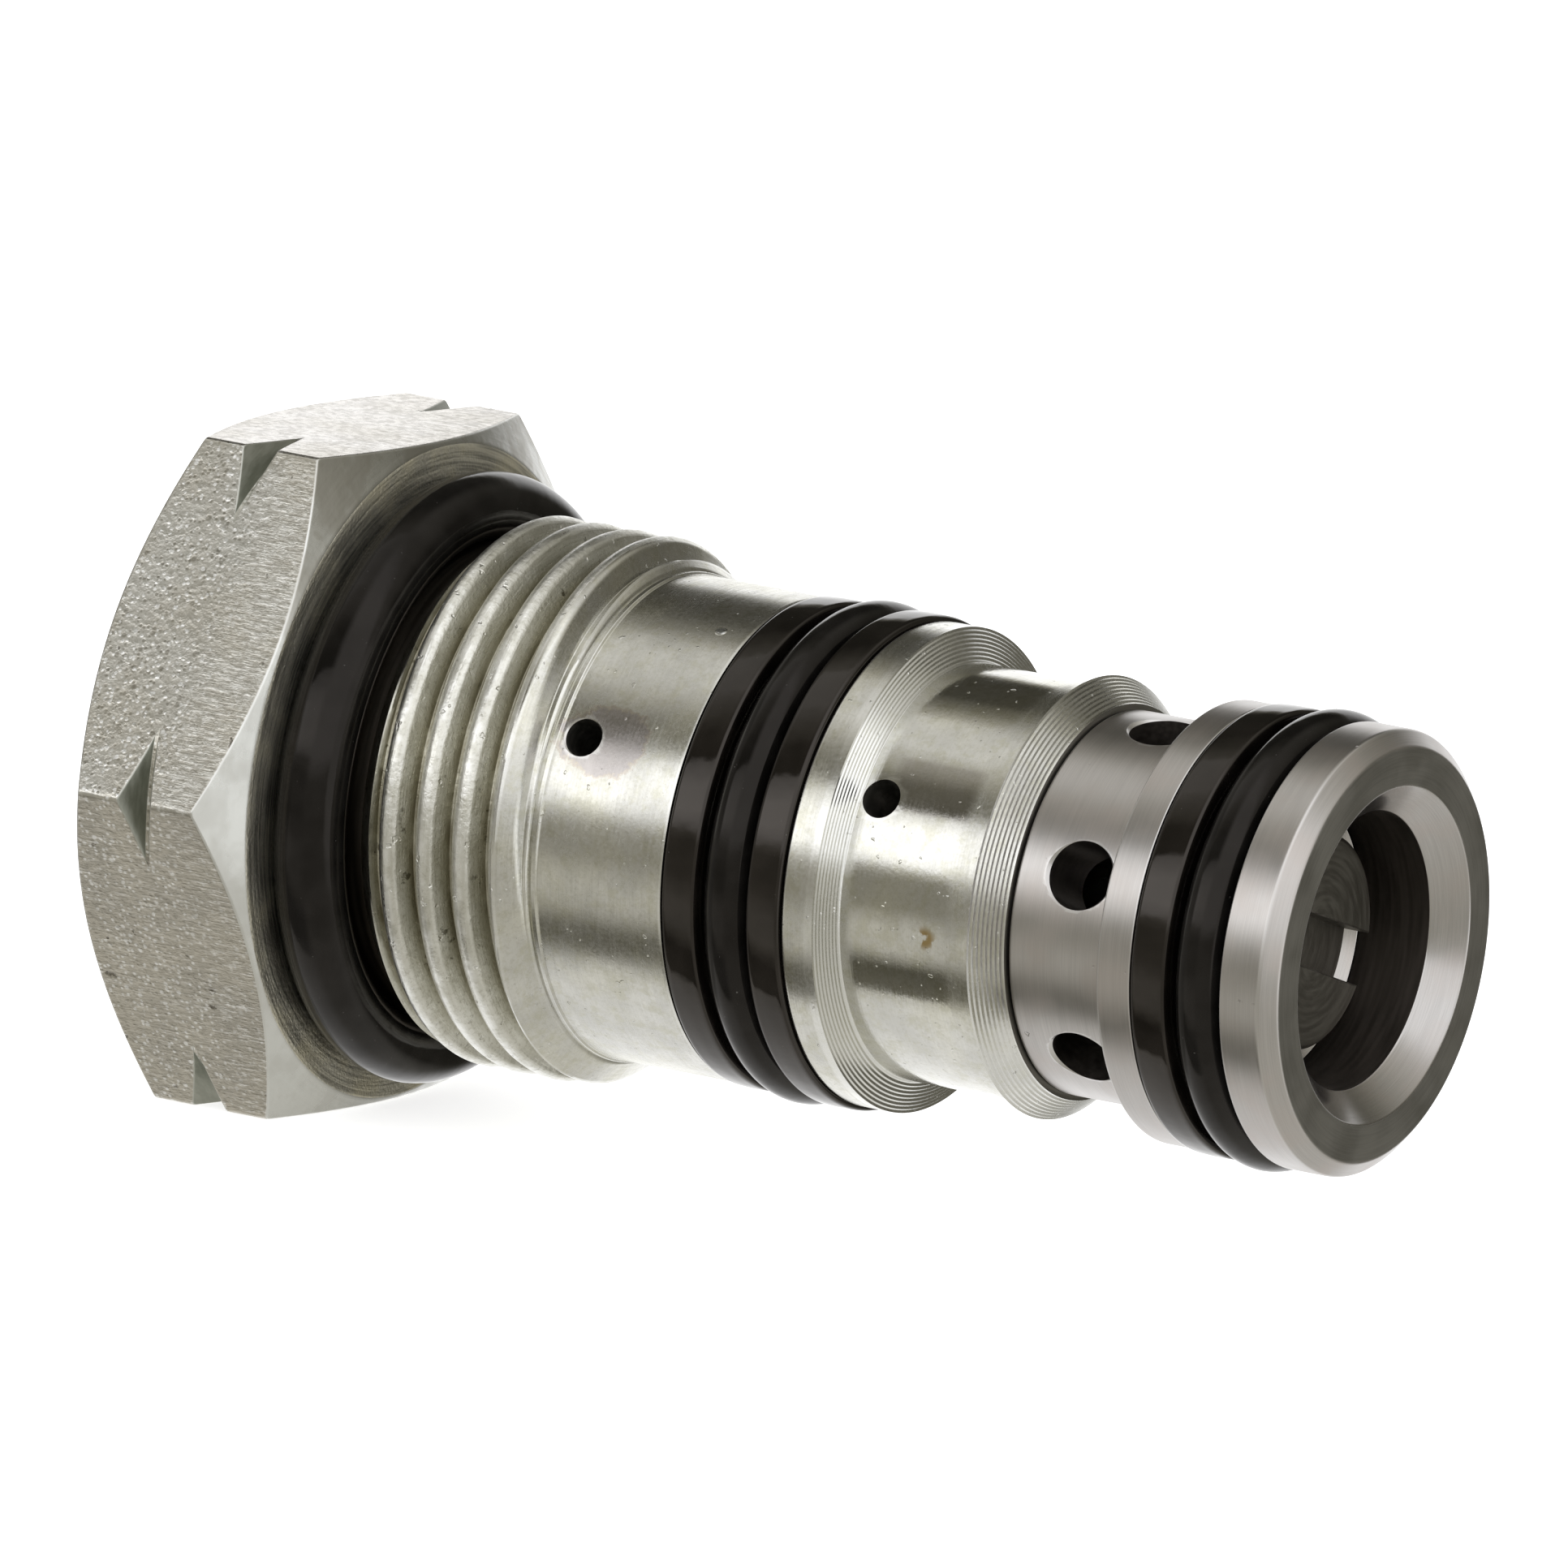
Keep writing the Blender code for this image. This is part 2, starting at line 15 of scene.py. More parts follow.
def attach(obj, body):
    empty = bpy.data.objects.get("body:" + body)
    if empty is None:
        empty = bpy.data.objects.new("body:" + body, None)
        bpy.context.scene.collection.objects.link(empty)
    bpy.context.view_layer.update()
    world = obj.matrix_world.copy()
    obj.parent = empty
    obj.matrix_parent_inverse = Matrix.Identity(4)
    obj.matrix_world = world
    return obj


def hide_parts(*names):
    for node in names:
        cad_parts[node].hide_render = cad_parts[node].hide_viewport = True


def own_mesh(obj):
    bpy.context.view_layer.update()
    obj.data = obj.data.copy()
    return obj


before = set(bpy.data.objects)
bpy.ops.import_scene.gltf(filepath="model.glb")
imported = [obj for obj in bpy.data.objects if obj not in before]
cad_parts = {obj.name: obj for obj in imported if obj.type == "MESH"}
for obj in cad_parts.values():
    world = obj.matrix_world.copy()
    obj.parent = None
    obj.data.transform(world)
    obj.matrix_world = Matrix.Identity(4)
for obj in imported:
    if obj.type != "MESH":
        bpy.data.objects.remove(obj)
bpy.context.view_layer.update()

MM = 0.001

# Degrees between two faces from which their edge stays sharp
SHARP_ANGLE = 38.0

# Sides of a turned piece, of a drill and of an O-ring's section
SEGMENTS = 256
DRILL_SIDES = 72
SECTION_SIDES = 40

# Share of a face's normal that lies along the axis, from which the face is a cone, and an end face
SLIGHT_LEAN = 0.3
FULL_LEAN = 0.95

# Radii between the faces of the bores and those outside
BODY_BORES_R = 6.95
CAGE_BORES_R = 6.15

# Camera, as fitted to the valve's outlines
CAMERA_AZIMUTH = 29.83
CAMERA_ELEVATION = 10.97
CAMERA_ROLL = 4.58
CAMERA_DISTANCE = 1271.0
CAMERA_AIM = (22.05, 0.0, 2.01)
CAMERA_LENS = 823.6

# Head and outside of the body
HEX_ACROSS_FLATS = 24.0
HEX_CORNER_R = 0.25
HEX_HEIGHT = 7.15
CHAMFER_RISE = math.tan(math.radians(30))
HEAD_FACE_R = 11.6
SEAT_FACE_R = 11.8
NOTCH_X = 3.6
NOTCH_FLOOR_R = 12.75
NOTCH_FLOOR_WIDTH = 0.15
NOTCH_RISE = math.tan(math.radians(30))
PITCH = 1.5
MAJOR_R = 9.9
MINOR_R = 8.98
THREAD_X = (9.9, 16.95)
THREAD_ROOT_X = 15.32
THREAD_ROOT_ANGLE = 20.0
RELIEF_R = 8.55
LEAD_R = 8.95
LEAD_SLOPE = 1.12
CREST_CROWN = 0.13
SHANK_R = 8.75
LAND_R = 8.72
MID_GROOVE = (22.4, 27.35)
WAIST_R = 7.5
RIDGES = 8
RIDGE_HEIGHT = 0.024
CAGE_R = 6.9
CAGE_LAND_R = 7.95
CAGE_BORE_R = 4.97
NOSE_R = 8.0
NOSE_X = 46.83
COUNTERSINK_X = 45.8
EDGE_BREAK = 0.06
SHANK_JOINT_X = 35.57

# Ports: station, angle and radius of each
PILOT_PORTS = ((18.2, 27.6, 0.7), (18.2, 207.6, 0.7))
VENT_PORTS = ((29.8, 28.9, 0.73),)
SIDE_PORTS = tuple((38.0, 19.0 + 60.0 * i, 1.25) for i in range(6))

# Slot of the poppet's end face
POPPET_FACE_X = 44.1
POPPET_R = 3.85
SLOT_WIDTH = 1.9
SLOT_DEPTH = 1.1
SLOT_TILT = -17.0

# O-rings: station, radius of the section's middle, width and height. Flat rings: start, width, inner radius,
# outer radius, and how far the outer edges lie below the middle
O_RINGS = {
    "head_o_ring": (8.52, 9.81, 2.6, 2.48),
    "mid_o_ring": (24.875, 8.17, 1.75, 1.75),
    "nose_o_ring": (43.66, 7.37, 1.76, 1.76),
}
FLAT_RINGS = {
    "mid_backup_ring_head_side": (22.45, 1.35, 7.3, 8.85, 0.03),
    "mid_backup_ring_nose_side": (25.95, 1.33, 7.3, 8.92, 0.03),
    "nose_backup_ring": (41.16, 1.4, 6.5, 8.08, 0.03),
}

# Springs: start, end, mean radius, wire's radius and turns
RETURN_SPRING = (24.3, 29.3, 4.0, 0.35, 4.5)
CHECK_SPRING = (26.7, 32.7, 1.45, 0.2, 9)

SEAL_TINT = (1.0, 0.91, 0.83, 1.0)

FLOOR_Z = -12.02
FLOOR_SIDE = 8000.0
FLOOR_COLOUR = (0.9, 0.9, 0.9, 1)
FLOOR_GLOW = 0.75


# ---------------------------------------------------------------- turned shapes


def unit(vector):
    """The direction of each vector, zero where it has no length, and its length."""
    length = np.linalg.norm(vector, axis=-1, keepdims=True)
    return np.divide(vector, length, out=np.zeros_like(vector), where=length > 1e-9), length


def rounded(path, cuts, closed=False, steps=3, span=0.3):
    """Rows along a profile of (x, r) corners, each rounded by a curve that takes its cut from both sides.

    A corner may hold one pair or one pair for each column. Long runs get extra rows, at most span mm apart.
    """
    path = [np.atleast_2d(np.asarray(corner, float)) for corner in path]
    columns = max(len(corner) for corner in path)
    path = np.stack([np.broadcast_to(corner, (columns, 2)) for corner in path])
    count = len(path)
    cuts = cuts if isinstance(cuts, (list, tuple)) else [cuts] * count
    parts = []
    for i, here in enumerate(path):
        if cuts[i] == 0 or (not closed and i in (0, count - 1)):
            parts.append([here])
            continue
        back, back_length = unit(path[i - 1] - here)
        ahead, ahead_length = unit(path[(i + 1) % count] - here)
        cut = np.minimum(cuts[i], 0.3 * np.minimum(back_length, ahead_length))
        curve = [here + back * cut * 1.6]
        for step in range(steps + 1):
            t = step / steps
            curve.append(here + back * cut * (1 - t) ** 2 + ahead * cut * t**2)
        curve.append(here + ahead * cut * 1.6)
        parts.append(curve)
    rows = []
    for i, part in enumerate(parts):
        rows += part
        following = parts[(i + 1) % count][0]
        if not closed and i == count - 1:
            break
        run = float(np.linalg.norm(following - part[-1], axis=-1).mean())
        extra = int(run / span)
        for k in range(1, extra + 1):
            rows.append(part[-1] + (following - part[-1]) * k / (extra + 1))
    return np.stack(rows)


def full_turn(sides):
    """The angles of a closed turn, with its start once more at its end."""
    return 360 * np.arange(sides + 1) / sides


def swept(rows, angles):
    """Points of rows of (x, r) at the columns' angles, as an array [row, column, xyz] in metres."""
    rows = np.broadcast_to(rows, (len(rows), len(angles), 2))
    turn = np.radians(angles)
    points = np.stack([rows[..., 0], -rows[..., 1] * np.cos(turn), rows[..., 1] * np.sin(turn)], -1)
    return points * MM


def grid_mesh(name, points, closed_rows, closed_columns=False):
    """A mesh over a grid of points [row, column, xyz]. Closed columns make a tube with capped ends."""
    rows, columns = points.shape[:2]
    index = np.arange(rows * columns).reshape(rows, columns)
    if closed_rows:
        index = np.vstack([index, index[:1]])
    if closed_columns:
        index = np.hstack([index, index[:, :1]])
    quads = np.stack([index[:-1, :-1], index[1:, :-1], index[1:, 1:], index[:-1, 1:]], -1).reshape(-1, 4)
    faces = quads.tolist()
    if closed_columns:
        faces += [index[0, :-1].tolist(), index[-1, :-1].tolist()]
    mesh = bpy.data.meshes.new(name)
    mesh.from_pydata(points.reshape(-1, 3).tolist(), [], faces)
    return mesh


def clean(mesh):
    """Welds the seam and the collapsed rows, turns the faces outwards and shades smooth between the edges."""
    form = bmesh.new()
    form.from_mesh(mesh)
    bmesh.ops.remove_doubles(form, verts=form.verts, dist=2e-7)
    bmesh.ops.dissolve_degenerate(form, edges=form.edges, dist=1e-7)
    bmesh.ops.recalc_face_normals(form, faces=form.faces)
    form.to_mesh(mesh)
    form.free()
    mesh.shade_smooth()
    mesh.set_sharp_from_angle(angle=math.radians(SHARP_ANGLE))
    return mesh


def mark_wear(mesh):
    """Stores on each vertex how far it stands out from its neighbours, which is where edges wear bright."""
    count = len(mesh.vertices)
    places = np.empty(count * 3)
    mesh.vertices.foreach_get("co", places)
    normals = np.empty(count * 3)
    mesh.vertex_normals.foreach_get("vector", normals)
    ends = np.empty(len(mesh.edges) * 2, dtype=int)
    mesh.edges.foreach_get("vertices", ends)
    places, normals, ends = places.reshape(-1, 3), normals.reshape(-1, 3), ends.reshape(-1, 2)
    both = np.vstack([ends, ends[:, ::-1]])
    neighbours = np.maximum(np.bincount(both[:, 0], minlength=count), 1)
    direction, _ = unit((places[both[:, 1]] - places[both[:, 0]]) / MM)
    sinking = -np.einsum("ij,ij->i", direction, normals[both[:, 0]])
    wear = np.bincount(both[:, 0], weights=sinking, minlength=count) / neighbours
    around = np.bincount(both[:, 0], weights=wear[both[:, 1]], minlength=count) / neighbours
    layer = mesh.attributes.new("wear", "FLOAT", "POINT")
    layer.data.foreach_set("value", (0.5 * wear + 0.5 * around).astype(np.float32))


def add_object(name, data):
    """An object of this mesh or camera, in the scene."""
    obj = bpy.data.objects.new(name, data)
    bpy.context.scene.collection.objects.link(obj)
    return obj


def turned(name, path, cuts, closed=True, segments=SEGMENTS, span=0.3):
    """A turned piece through a profile; a closed profile makes a ring."""
    points = swept(rounded(path, cuts, closed, span=span), full_turn(segments))
    return add_object(name, clean(grid_mesh(name, points, closed)))


def drilled(obj, ports, inner_r, surface_r, above=1.0, flare=1.0):
    """Cuts the ports into a piece, from inner_r to above mm over its surface; flare widens their mouths."""
    drills = []
    for number, (x, angle, radius) in enumerate(ports):
        top = surface_r - EDGE_BREAK
        end, wide = top + above, radius + above * flare
        profile = [(inner_r, 0.0), (inner_r, radius), (top, radius), (end, wide), (end, 0.0)]
        points = swept(np.array(profile)[:, None, :], full_turn(DRILL_SIDES))
        drill = add_object(f"drill_{number}", clean(grid_mesh(f"drill_{number}", points, False)))
        outwards = Vector((0, -math.cos(math.radians(angle)), math.sin(math.radians(angle))))
        aim = outwards.to_track_quat("X", "Z").to_matrix().to_4x4()
        drill.matrix_world = Matrix.Translation((x * MM, 0, 0)) @ aim
        drills.append(drill)
    bpy.context.view_layer.update()
    for drill in drills:
        cut_away(obj, drill)


def cut_away(obj, cutter):
    """Subtracts the cutter from the piece for good, and removes the cutter."""
    modifier = obj.modifiers.new("cut", "BOOLEAN")
    modifier.operation = "DIFFERENCE"
    modifier.solver = "EXACT"
    modifier.object = cutter
    graph = bpy.context.evaluated_depsgraph_get()
    mesh = bpy.data.meshes.new_from_object(obj.evaluated_get(graph))
    obj.modifiers.clear()
    obj.data = mesh
    mesh.set_sharp_from_angle(angle=math.radians(SHARP_ANGLE))
    bpy.data.objects.remove(cutter)


# ---------------------------------------------------------------- the body


def body_angles():
    """Columns round the body, closer together at the six worn corners of the hexagon."""
    near = np.array([-1.1, -0.6, -0.3, 0.0, 0.3, 0.6, 1.1])
    corners = (60 * np.arange(7)[:, None] + near).ravel()
    plain = 2.0 * np.arange(181)
    plain = plain[np.abs((plain + 30) % 60 - 30) > 1.2]
    both = np.unique(np.concatenate([plain, corners]).round(6))
    return both[(both >= 0) & (both <= 360)]


def hex_radius(angles):
    """Distance from the axis to the hexagon, whose corners are rounded."""
    half = HEX_ACROSS_FLATS / 2
    off = np.radians(np.abs((angles + 30) % 60 - 30))
    flat = half / np.cos(math.radians(30) - off)
    centre = (half - HEX_CORNER_R) / math.cos(math.radians(30))
    tangent = math.radians(30) - math.atan(centre * 0.5 / half)
    under = np.maximum(HEX_CORNER_R**2 - (centre * np.sin(off)) ** 2, 0)
    return np.where(off < tangent, centre * np.cos(off) + np.sqrt(under), flat)


def pairs(x, r):
    """A corner of a profile that differs from column to column."""
    return np.stack(np.broadcast_arrays(x, r), -1)


def head_rows(angles):
    """The hexagonal head, from its end face to the seat face and the relief under the O-ring."""
    hexagon = hex_radius(angles)
    depth = np.maximum(hexagon - NOTCH_FLOOR_R, 0)
    floor_half = np.where(depth > 0, NOTCH_FLOOR_WIDTH / 2, 0)
    lip = floor_half + depth * NOTCH_RISE
    floor = hexagon - depth
    path = [(0, 0), (0, HEAD_FACE_R), pairs((hexagon - HEAD_FACE_R) * CHAMFER_RISE, hexagon)]
    path += [pairs(NOTCH_X - lip, hexagon), pairs(NOTCH_X - floor_half, floor)]
    path += [pairs(NOTCH_X + floor_half, floor), pairs(NOTCH_X + lip, hexagon)]
    path += [pairs(HEX_HEIGHT - (hexagon - SEAT_FACE_R) * CHAMFER_RISE, hexagon)]
    path += [(HEX_HEIGHT, SEAT_FACE_R), (HEX_HEIGHT, RELIEF_R), (THREAD_X[0] - 0.2, RELIEF_R)]
    return rounded(path, [0, 0.12, 0.07, 0.05, 0.02, 0.02, 0.05, 0.07, 0.12, 0.25, 0], span=0.7)


def thread_rows(angles):
    """The thread's profile along its helix, limited by the relief at its start and the lead-in at its end."""
    root, shoulder = 0.06 * PITCH, 0.30 * PITCH
    shoulder_r = MAJOR_R - CREST_CROWN
    half = [(0, MINOR_R), (root, MINOR_R), (shoulder, shoulder_r), (PITCH / 2, MAJOR_R)]
    path = half + [(PITCH - x, r) for x, r in reversed(half[:-1])]
    profile = rounded(path, [0, 0.07, 0.12, 0.12, 0.12, 0.07, 0], steps=2, span=0.2)[:-1, 0]
    first = -math.ceil((THREAD_ROOT_X - THREAD_X[0]) / PITCH) - 1
    last = math.ceil((THREAD_X[1] - THREAD_ROOT_X) / PITCH) + 1
    helix = PITCH * (THREAD_ROOT_ANGLE - angles) / 360
    rows = []
    for turn in range(first, last + 1):
        for offset, radius in profile:
            x = np.clip(THREAD_ROOT_X + turn * PITCH + offset + helix, *THREAD_X)
            limit = np.minimum(RELIEF_R + x - THREAD_X[0], LEAD_R + (THREAD_X[1] - x) * LEAD_SLOPE)
            rows.append(pairs(x, np.minimum(radius, limit)))
    return np.stack(rows)


def ridged(start, end):
    """Corners of a turned cone with fine concentric ridges."""
    corners = []
    for i in range(2 * RIDGES + 1):
        share = i / (2 * RIDGES)
        sink = RIDGE_HEIGHT if i % 2 else 0
        x = start[0] + (end[0] - start[0]) * share - sink
        r = start[1] + (end[1] - start[1]) * share - sink
        corners.append((x, r))
    return corners


def shank_rows(columns):
    """From the lead-in past the seal groove, waist and flange, and back through the bores to the axis."""
    lead_in = [(16.98, 8.9), (17.03, 8.78), (17.1, 8.84), (17.26, 8.84), (17.33, SHANK_R)]
    groove = [(MID_GROOVE[0], SHANK_R), (MID_GROOVE[0], 7.0), (MID_GROOVE[1], 7.0), (MID_GROOVE[1], LAND_R)]
    first = ridged((28.6, LAND_R), (29.0, 7.55))
    waist = [(29.03, WAIST_R), (34.42, WAIST_R)]
    second = ridged((34.47, 7.95), (35.5, 7.1))
    bores = [(35.5, 6.0), (30.2, 6.0), (30.2, 5.2), (19.3, 5.2), (19.3, 2.2), (15.0, 2.2), (13.7, 0)]
    cuts = [0.02] * len(lead_in) + [0.09, 0.12, 0.12, 0.08]
    cuts += [0] * len(first) + [0.02, 0.03] + [0] * len(second)
    outside = rounded(lead_in + groove + first + waist + second, cuts, steps=2, span=0.45)
    inside = rounded(bores, 0, span=20)
    rows = np.concatenate([outside, inside])
    return np.broadcast_to(rows, (len(rows), columns, 2))


def valve_body():
    """The body in one piece, with its ports."""
    angles = body_angles()
    rows = np.concatenate([head_rows(angles), thread_rows(angles), shank_rows(len(angles))])
    body = add_object("body_detailed", clean(grid_mesh("body_detailed", swept(rows, angles), False)))
    drilled(body, PILOT_PORTS, 1.0, SHANK_R)
    drilled(body, VENT_PORTS, 4.0, WAIST_R, above=0.3, flare=0.0)
    return body


def valve_cage():
    """The nose sleeve: the neck inside the body, then outwards round the nose and back through the bore."""
    neck = [(30.5, 4.2), (30.5, 5.7), (32.4, 5.7), (32.4, 4.85), (33.8, 4.85), (33.8, 5.7)]
    neck += [(SHANK_JOINT_X, 5.7)]
    outside = [(SHANK_JOINT_X, CAGE_R), (39.66, CAGE_R), (39.75, CAGE_LAND_R), (41.1, CAGE_LAND_R)]
    outside += [(41.1, 6.2), (44.75, 6.2), (44.75, NOSE_R), (46.3, NOSE_R), (NOSE_X, 7.41)]
    outside += [(NOSE_X, 6.05), (COUNTERSINK_X, CAGE_BORE_R)]
    inside = [(39.6, CAGE_BORE_R), (39.6, 4.2), (35.6, 4.2), (35.6, 3.7), (34.9, 3.7), (34.9, 4.2)]
    inside += [(31.75, 4.2), (31.75, 4.55), (30.85, 4.55), (30.85, 4.2)]
    path = neck + outside + inside
    outside_cuts = [0.07, 0.03, 0.08, 0.06, 0.12, 0.12, 0.07, 0.08, 0.07, 0.05, 0.05]
    cuts = [0] * len(neck) + outside_cuts + [0] * len(inside)
    cage = turned("cage_detailed", path, cuts, segments=240, span=0.3)
    drilled(cage, SIDE_PORTS, 3.0, CAGE_R - 0.05)
    return cage


def seat_ring():
    """The hard ring under the poppet, with a polished cone inside its rim."""
    path = [(39.9, 3.1), (39.9, 4.88), (43.0, 4.88), (42.3, 4.15), (41.2, 4.15), (41.2, 3.4), (40.9, 3.1)]
    return turned("seat_ring_detailed", path, [0.05, 0.05, 0.03, 0.04, 0.1, 0.03, 0.03], segments=200)


# ---------------------------------------------------------------- seals, springs, poppet


def o_ring(name, x, centre_r, width, height):
    """A ring of round section, or of slightly squeezed section where its width and height differ."""
    turn = np.radians(full_turn(SECTION_SIDES)[:-1])
    rows = np.stack([x + width / 2 * np.cos(turn), centre_r + height / 2 * np.sin(turn)], -1)[:, None, :]
    return add_object(name, clean(grid_mesh(name, swept(rows, full_turn(SEGMENTS)), True)))


def flat_ring(name, start, width, inner_r, outer_r, crown):
    """A flat ring with rounded edges; crown lowers its outer edges."""
    end = start + width
    path = [(start, inner_r), (start, outer_r - crown), ((start + end) / 2, outer_r), (end, outer_r - crown)]
    return turned(name, path + [(end, inner_r)], [0.15, 0.16, 0.3, 0.16, 0.15], span=0.2)


def spring(name, start, end, mean_r, wire_r, turns):
    """A compression spring of round wire with a closed coil at each end."""
    steps, sides = 72, 20
    turn = np.arange(int(turns * steps) + 1) / steps
    closed = 2.1 * wire_r
    free = end - start - 2 * wire_r
    active = np.clip(turn - 1, 0, turns - 2) / (turns - 2)
    ends = np.minimum(turn, 1) + np.maximum(turn - turns + 1, 0)
    x = start + wire_r + closed * ends + (free - 2 * closed) * active
    around = np.radians(full_turn(sides)[:-1])
    along = x[:, None] + wire_r * np.cos(around)
    radius = mean_r + wire_r * np.sin(around)
    y = -radius * np.cos(2 * np.pi * turn)[:, None]
    z = radius * np.sin(2 * np.pi * turn)[:, None]
    points = np.stack([along, y, z], -1) * MM
    return add_object(name, clean(grid_mesh(name, points, False, closed_columns=True)))


def slot_cutter():
    """A bar across the poppet's end face, wider above the rim of the slot that it cuts."""
    width, depth, length = SLOT_WIDTH / 2, SLOT_DEPTH, 3 * POPPET_R
    path = [(-depth, -width), (-depth, width), (-0.05, width), (0.45, width + 0.5)]
    path += [(depth, width + 0.5), (depth, -width - 0.5), (0.45, -width - 0.5), (-0.05, -width)]
    count = len(path)
    vertices = [((POPPET_FACE_X + x) * MM, side * length * MM, z * MM) for side in (-1, 1) for x, z in path]
    faces = [tuple(range(count)), tuple(range(count, 2 * count))]
    faces += [(i, (i + 1) % count, count + (i + 1) % count, count + i) for i in range(count)]
    mesh = bpy.data.meshes.new("slot")
    mesh.from_pydata(vertices, [], faces)
    slot = add_object("slot", clean(mesh))
    slot.rotation_euler.x = math.radians(SLOT_TILT)
    bpy.context.view_layer.update()
    return slot


def check_poppet():
    """The poppet: a threaded hole behind, the seating cone, and the slotted end face."""
    path = [(42.5, 0), (42.5, 1.2), (40.45, 1.2), (40.45, 2.3), (42.0, POPPET_R)]
    path += [(POPPET_FACE_X - 0.15, POPPET_R), (POPPET_FACE_X, POPPET_R - 0.15), (POPPET_FACE_X, 0)]
    cuts = [0, 0.05, 0.05, 0.05, 0.1, 0.05, 0.05, 0]
    poppet = turned("poppet_detailed", path, cuts, closed=False, segments=160)
    cut_away(poppet, slot_cutter())
    return poppet


# ---------------------------------------------------------------- finishes


class Finish:
    """A node material, with short ways to add nodes and the coordinates of a turned part in millimetres."""

    def __init__(self, name, colour, roughness, metallic=1.0, **sockets):
        self.material = bpy.data.materials.new(name)
        self.material.use_nodes = True
        self.tree = self.material.node_tree
        self.shader = self.tree.nodes["Principled BSDF"]
        self.shader.inputs["Base Color"].default_value = (*colour, 1)
        self.shader.inputs["Roughness"].default_value = roughness
        self.shader.inputs["Metallic"].default_value = metallic
        for socket, value in sockets.items():
            self.shader.inputs[socket.replace("_", " ")].default_value = value
        place = self.node("TexCoord").outputs["Object"]
        self.mm = self.vector("SCALE", place, scale=1 / MM)
        split = self.node("SeparateXYZ", Vector=self.mm).outputs
        self.x, self.y, self.z = split
        self.r = self.length(self.y, self.z)
        self.normal = None

    def node(self, kind, **inputs):
        """Adds a node of this kind and gives each named input its value or link."""
        made = self.tree.nodes.new("ShaderNode" + kind)
        for name, value in inputs.items():
            self.put(made.inputs[name.replace("_", " ")], value)
        return made

    def put(self, socket, value):
        """Links an output to the socket, or sets the socket to a plain value."""
        if isinstance(value, bpy.types.NodeSocket):
            self.tree.links.new(value, socket)
        else:
            socket.default_value = value

    def math(self, operation, a, b=0.0):
        made = self.tree.nodes.new("ShaderNodeMath")
        made.operation = operation
        self.put(made.inputs[0], a)
        self.put(made.inputs[1], b)
        return made.outputs[0]

    def times(self, product, *others):
        """The product of all these values."""
        for other in others:
            product = self.math("MULTIPLY", product, other)
        return product

    def plus(self, a, b):
        return self.math("ADD", a, b)

    def minus(self, a, b):
        return self.math("SUBTRACT", a, b)

    def length(self, a, b):
        """The length of a vector with these two parts."""
        return self.math("SQRT", self.plus(self.times(a, a), self.times(b, b)))

    def vector(self, operation, a, b=(0, 0, 0), scale=1.0):
        made = self.tree.nodes.new("ShaderNodeVectorMath")
        made.operation = operation
        self.put(made.inputs[0], a)
        if operation == "SCALE":
            self.put(made.inputs["Scale"], scale)
        else:
            self.put(made.inputs[1], b)
        return made.outputs[0]

    def ease(self, value, low, high, to_low=0.0, to_high=1.0):
        """Goes smoothly from to_low to to_high while value goes from low to high."""
        made = self.node("MapRange", Value=value, From_Min=low, From_Max=high, To_Min=to_low, To_Max=to_high)
        made.interpolation_type = "SMOOTHSTEP"
        return made.outputs[0]

    def shifted(self, place, seed):
        """The coordinates moved, so that each seed shows another part of a pattern."""
        return self.vector("ADD", place, (seed * 13.7, seed * 5.1, seed * 9.3))

    def noise(self, scale, detail=2.0, rough=0.5, stretch=(1, 1, 1), seed=0.0):
        """Noise in space, scale features per millimetre, finer along an axis by its stretch."""
        place = self.shifted(self.vector("MULTIPLY", self.mm, stretch), seed)
        made = self.node("TexNoise", Vector=place, Scale=scale, Detail=detail, Roughness=rough)
        return made.outputs["Fac"]

    def rings(self, per_mm, round_trip=6.0, detail=3.0):
        """Lines round the axis, as a lathe leaves them, that fade in and out along a turn."""
        safe = self.math("MAXIMUM", self.r, 0.05)
        side, up = self.math("DIVIDE", self.y, safe), self.math("DIVIDE", self.z, safe)
        along = self.node(
            "CombineXYZ",
            X=self.times(self.x, per_mm),
            Y=self.times(self.r, per_mm),
            Z=self.times(side, round_trip),
        ).outputs[0]
        made = self.tree.nodes.new("ShaderNodeTexNoise")
        made.noise_dimensions = "4D"
        self.put(made.inputs["Vector"], along)
        self.put(made.inputs["W"], self.times(up, round_trip))
        self.put(made.inputs["Scale"], 1.0)
        self.put(made.inputs["Detail"], detail)
        return made.outputs["Fac"]

    def mix(self, share, a, b):
        """Colour a where share is 0 and b where it is 1."""
        made = self.tree.nodes.new("ShaderNodeMix")
        made.data_type = "RGBA"
        self.put(made.inputs["Factor"], share)
        self.put(made.inputs["A"], (*a, 1) if isinstance(a, tuple) else a)
        self.put(made.inputs["B"], (*b, 1) if isinstance(b, tuple) else b)
        return made.outputs["Result"]

    def colour(self, value):
        self.put(self.shader.inputs["Base Color"], value)

    def roughness(self, value):
        self.put(self.shader.inputs["Roughness"], value)

    def bump(self, height, micrometres):
        """Adds relief: height from 0 to 1 stands for this many micrometres."""
        made = self.node("Bump", Height=height, Distance=micrometres * 1e-6)
        if self.normal is not None:
            self.put(made.inputs["Normal"], self.normal)
        self.normal = made.outputs[0]
        self.put(self.shader.inputs["Normal"], self.normal)

    def edge(self, low=0.03, high=0.11):
        """1 on worn outer edges."""
        made = self.node("Attribute")
        made.attribute_name = "wear"
        return self.ease(made.outputs["Fac"], low, high)

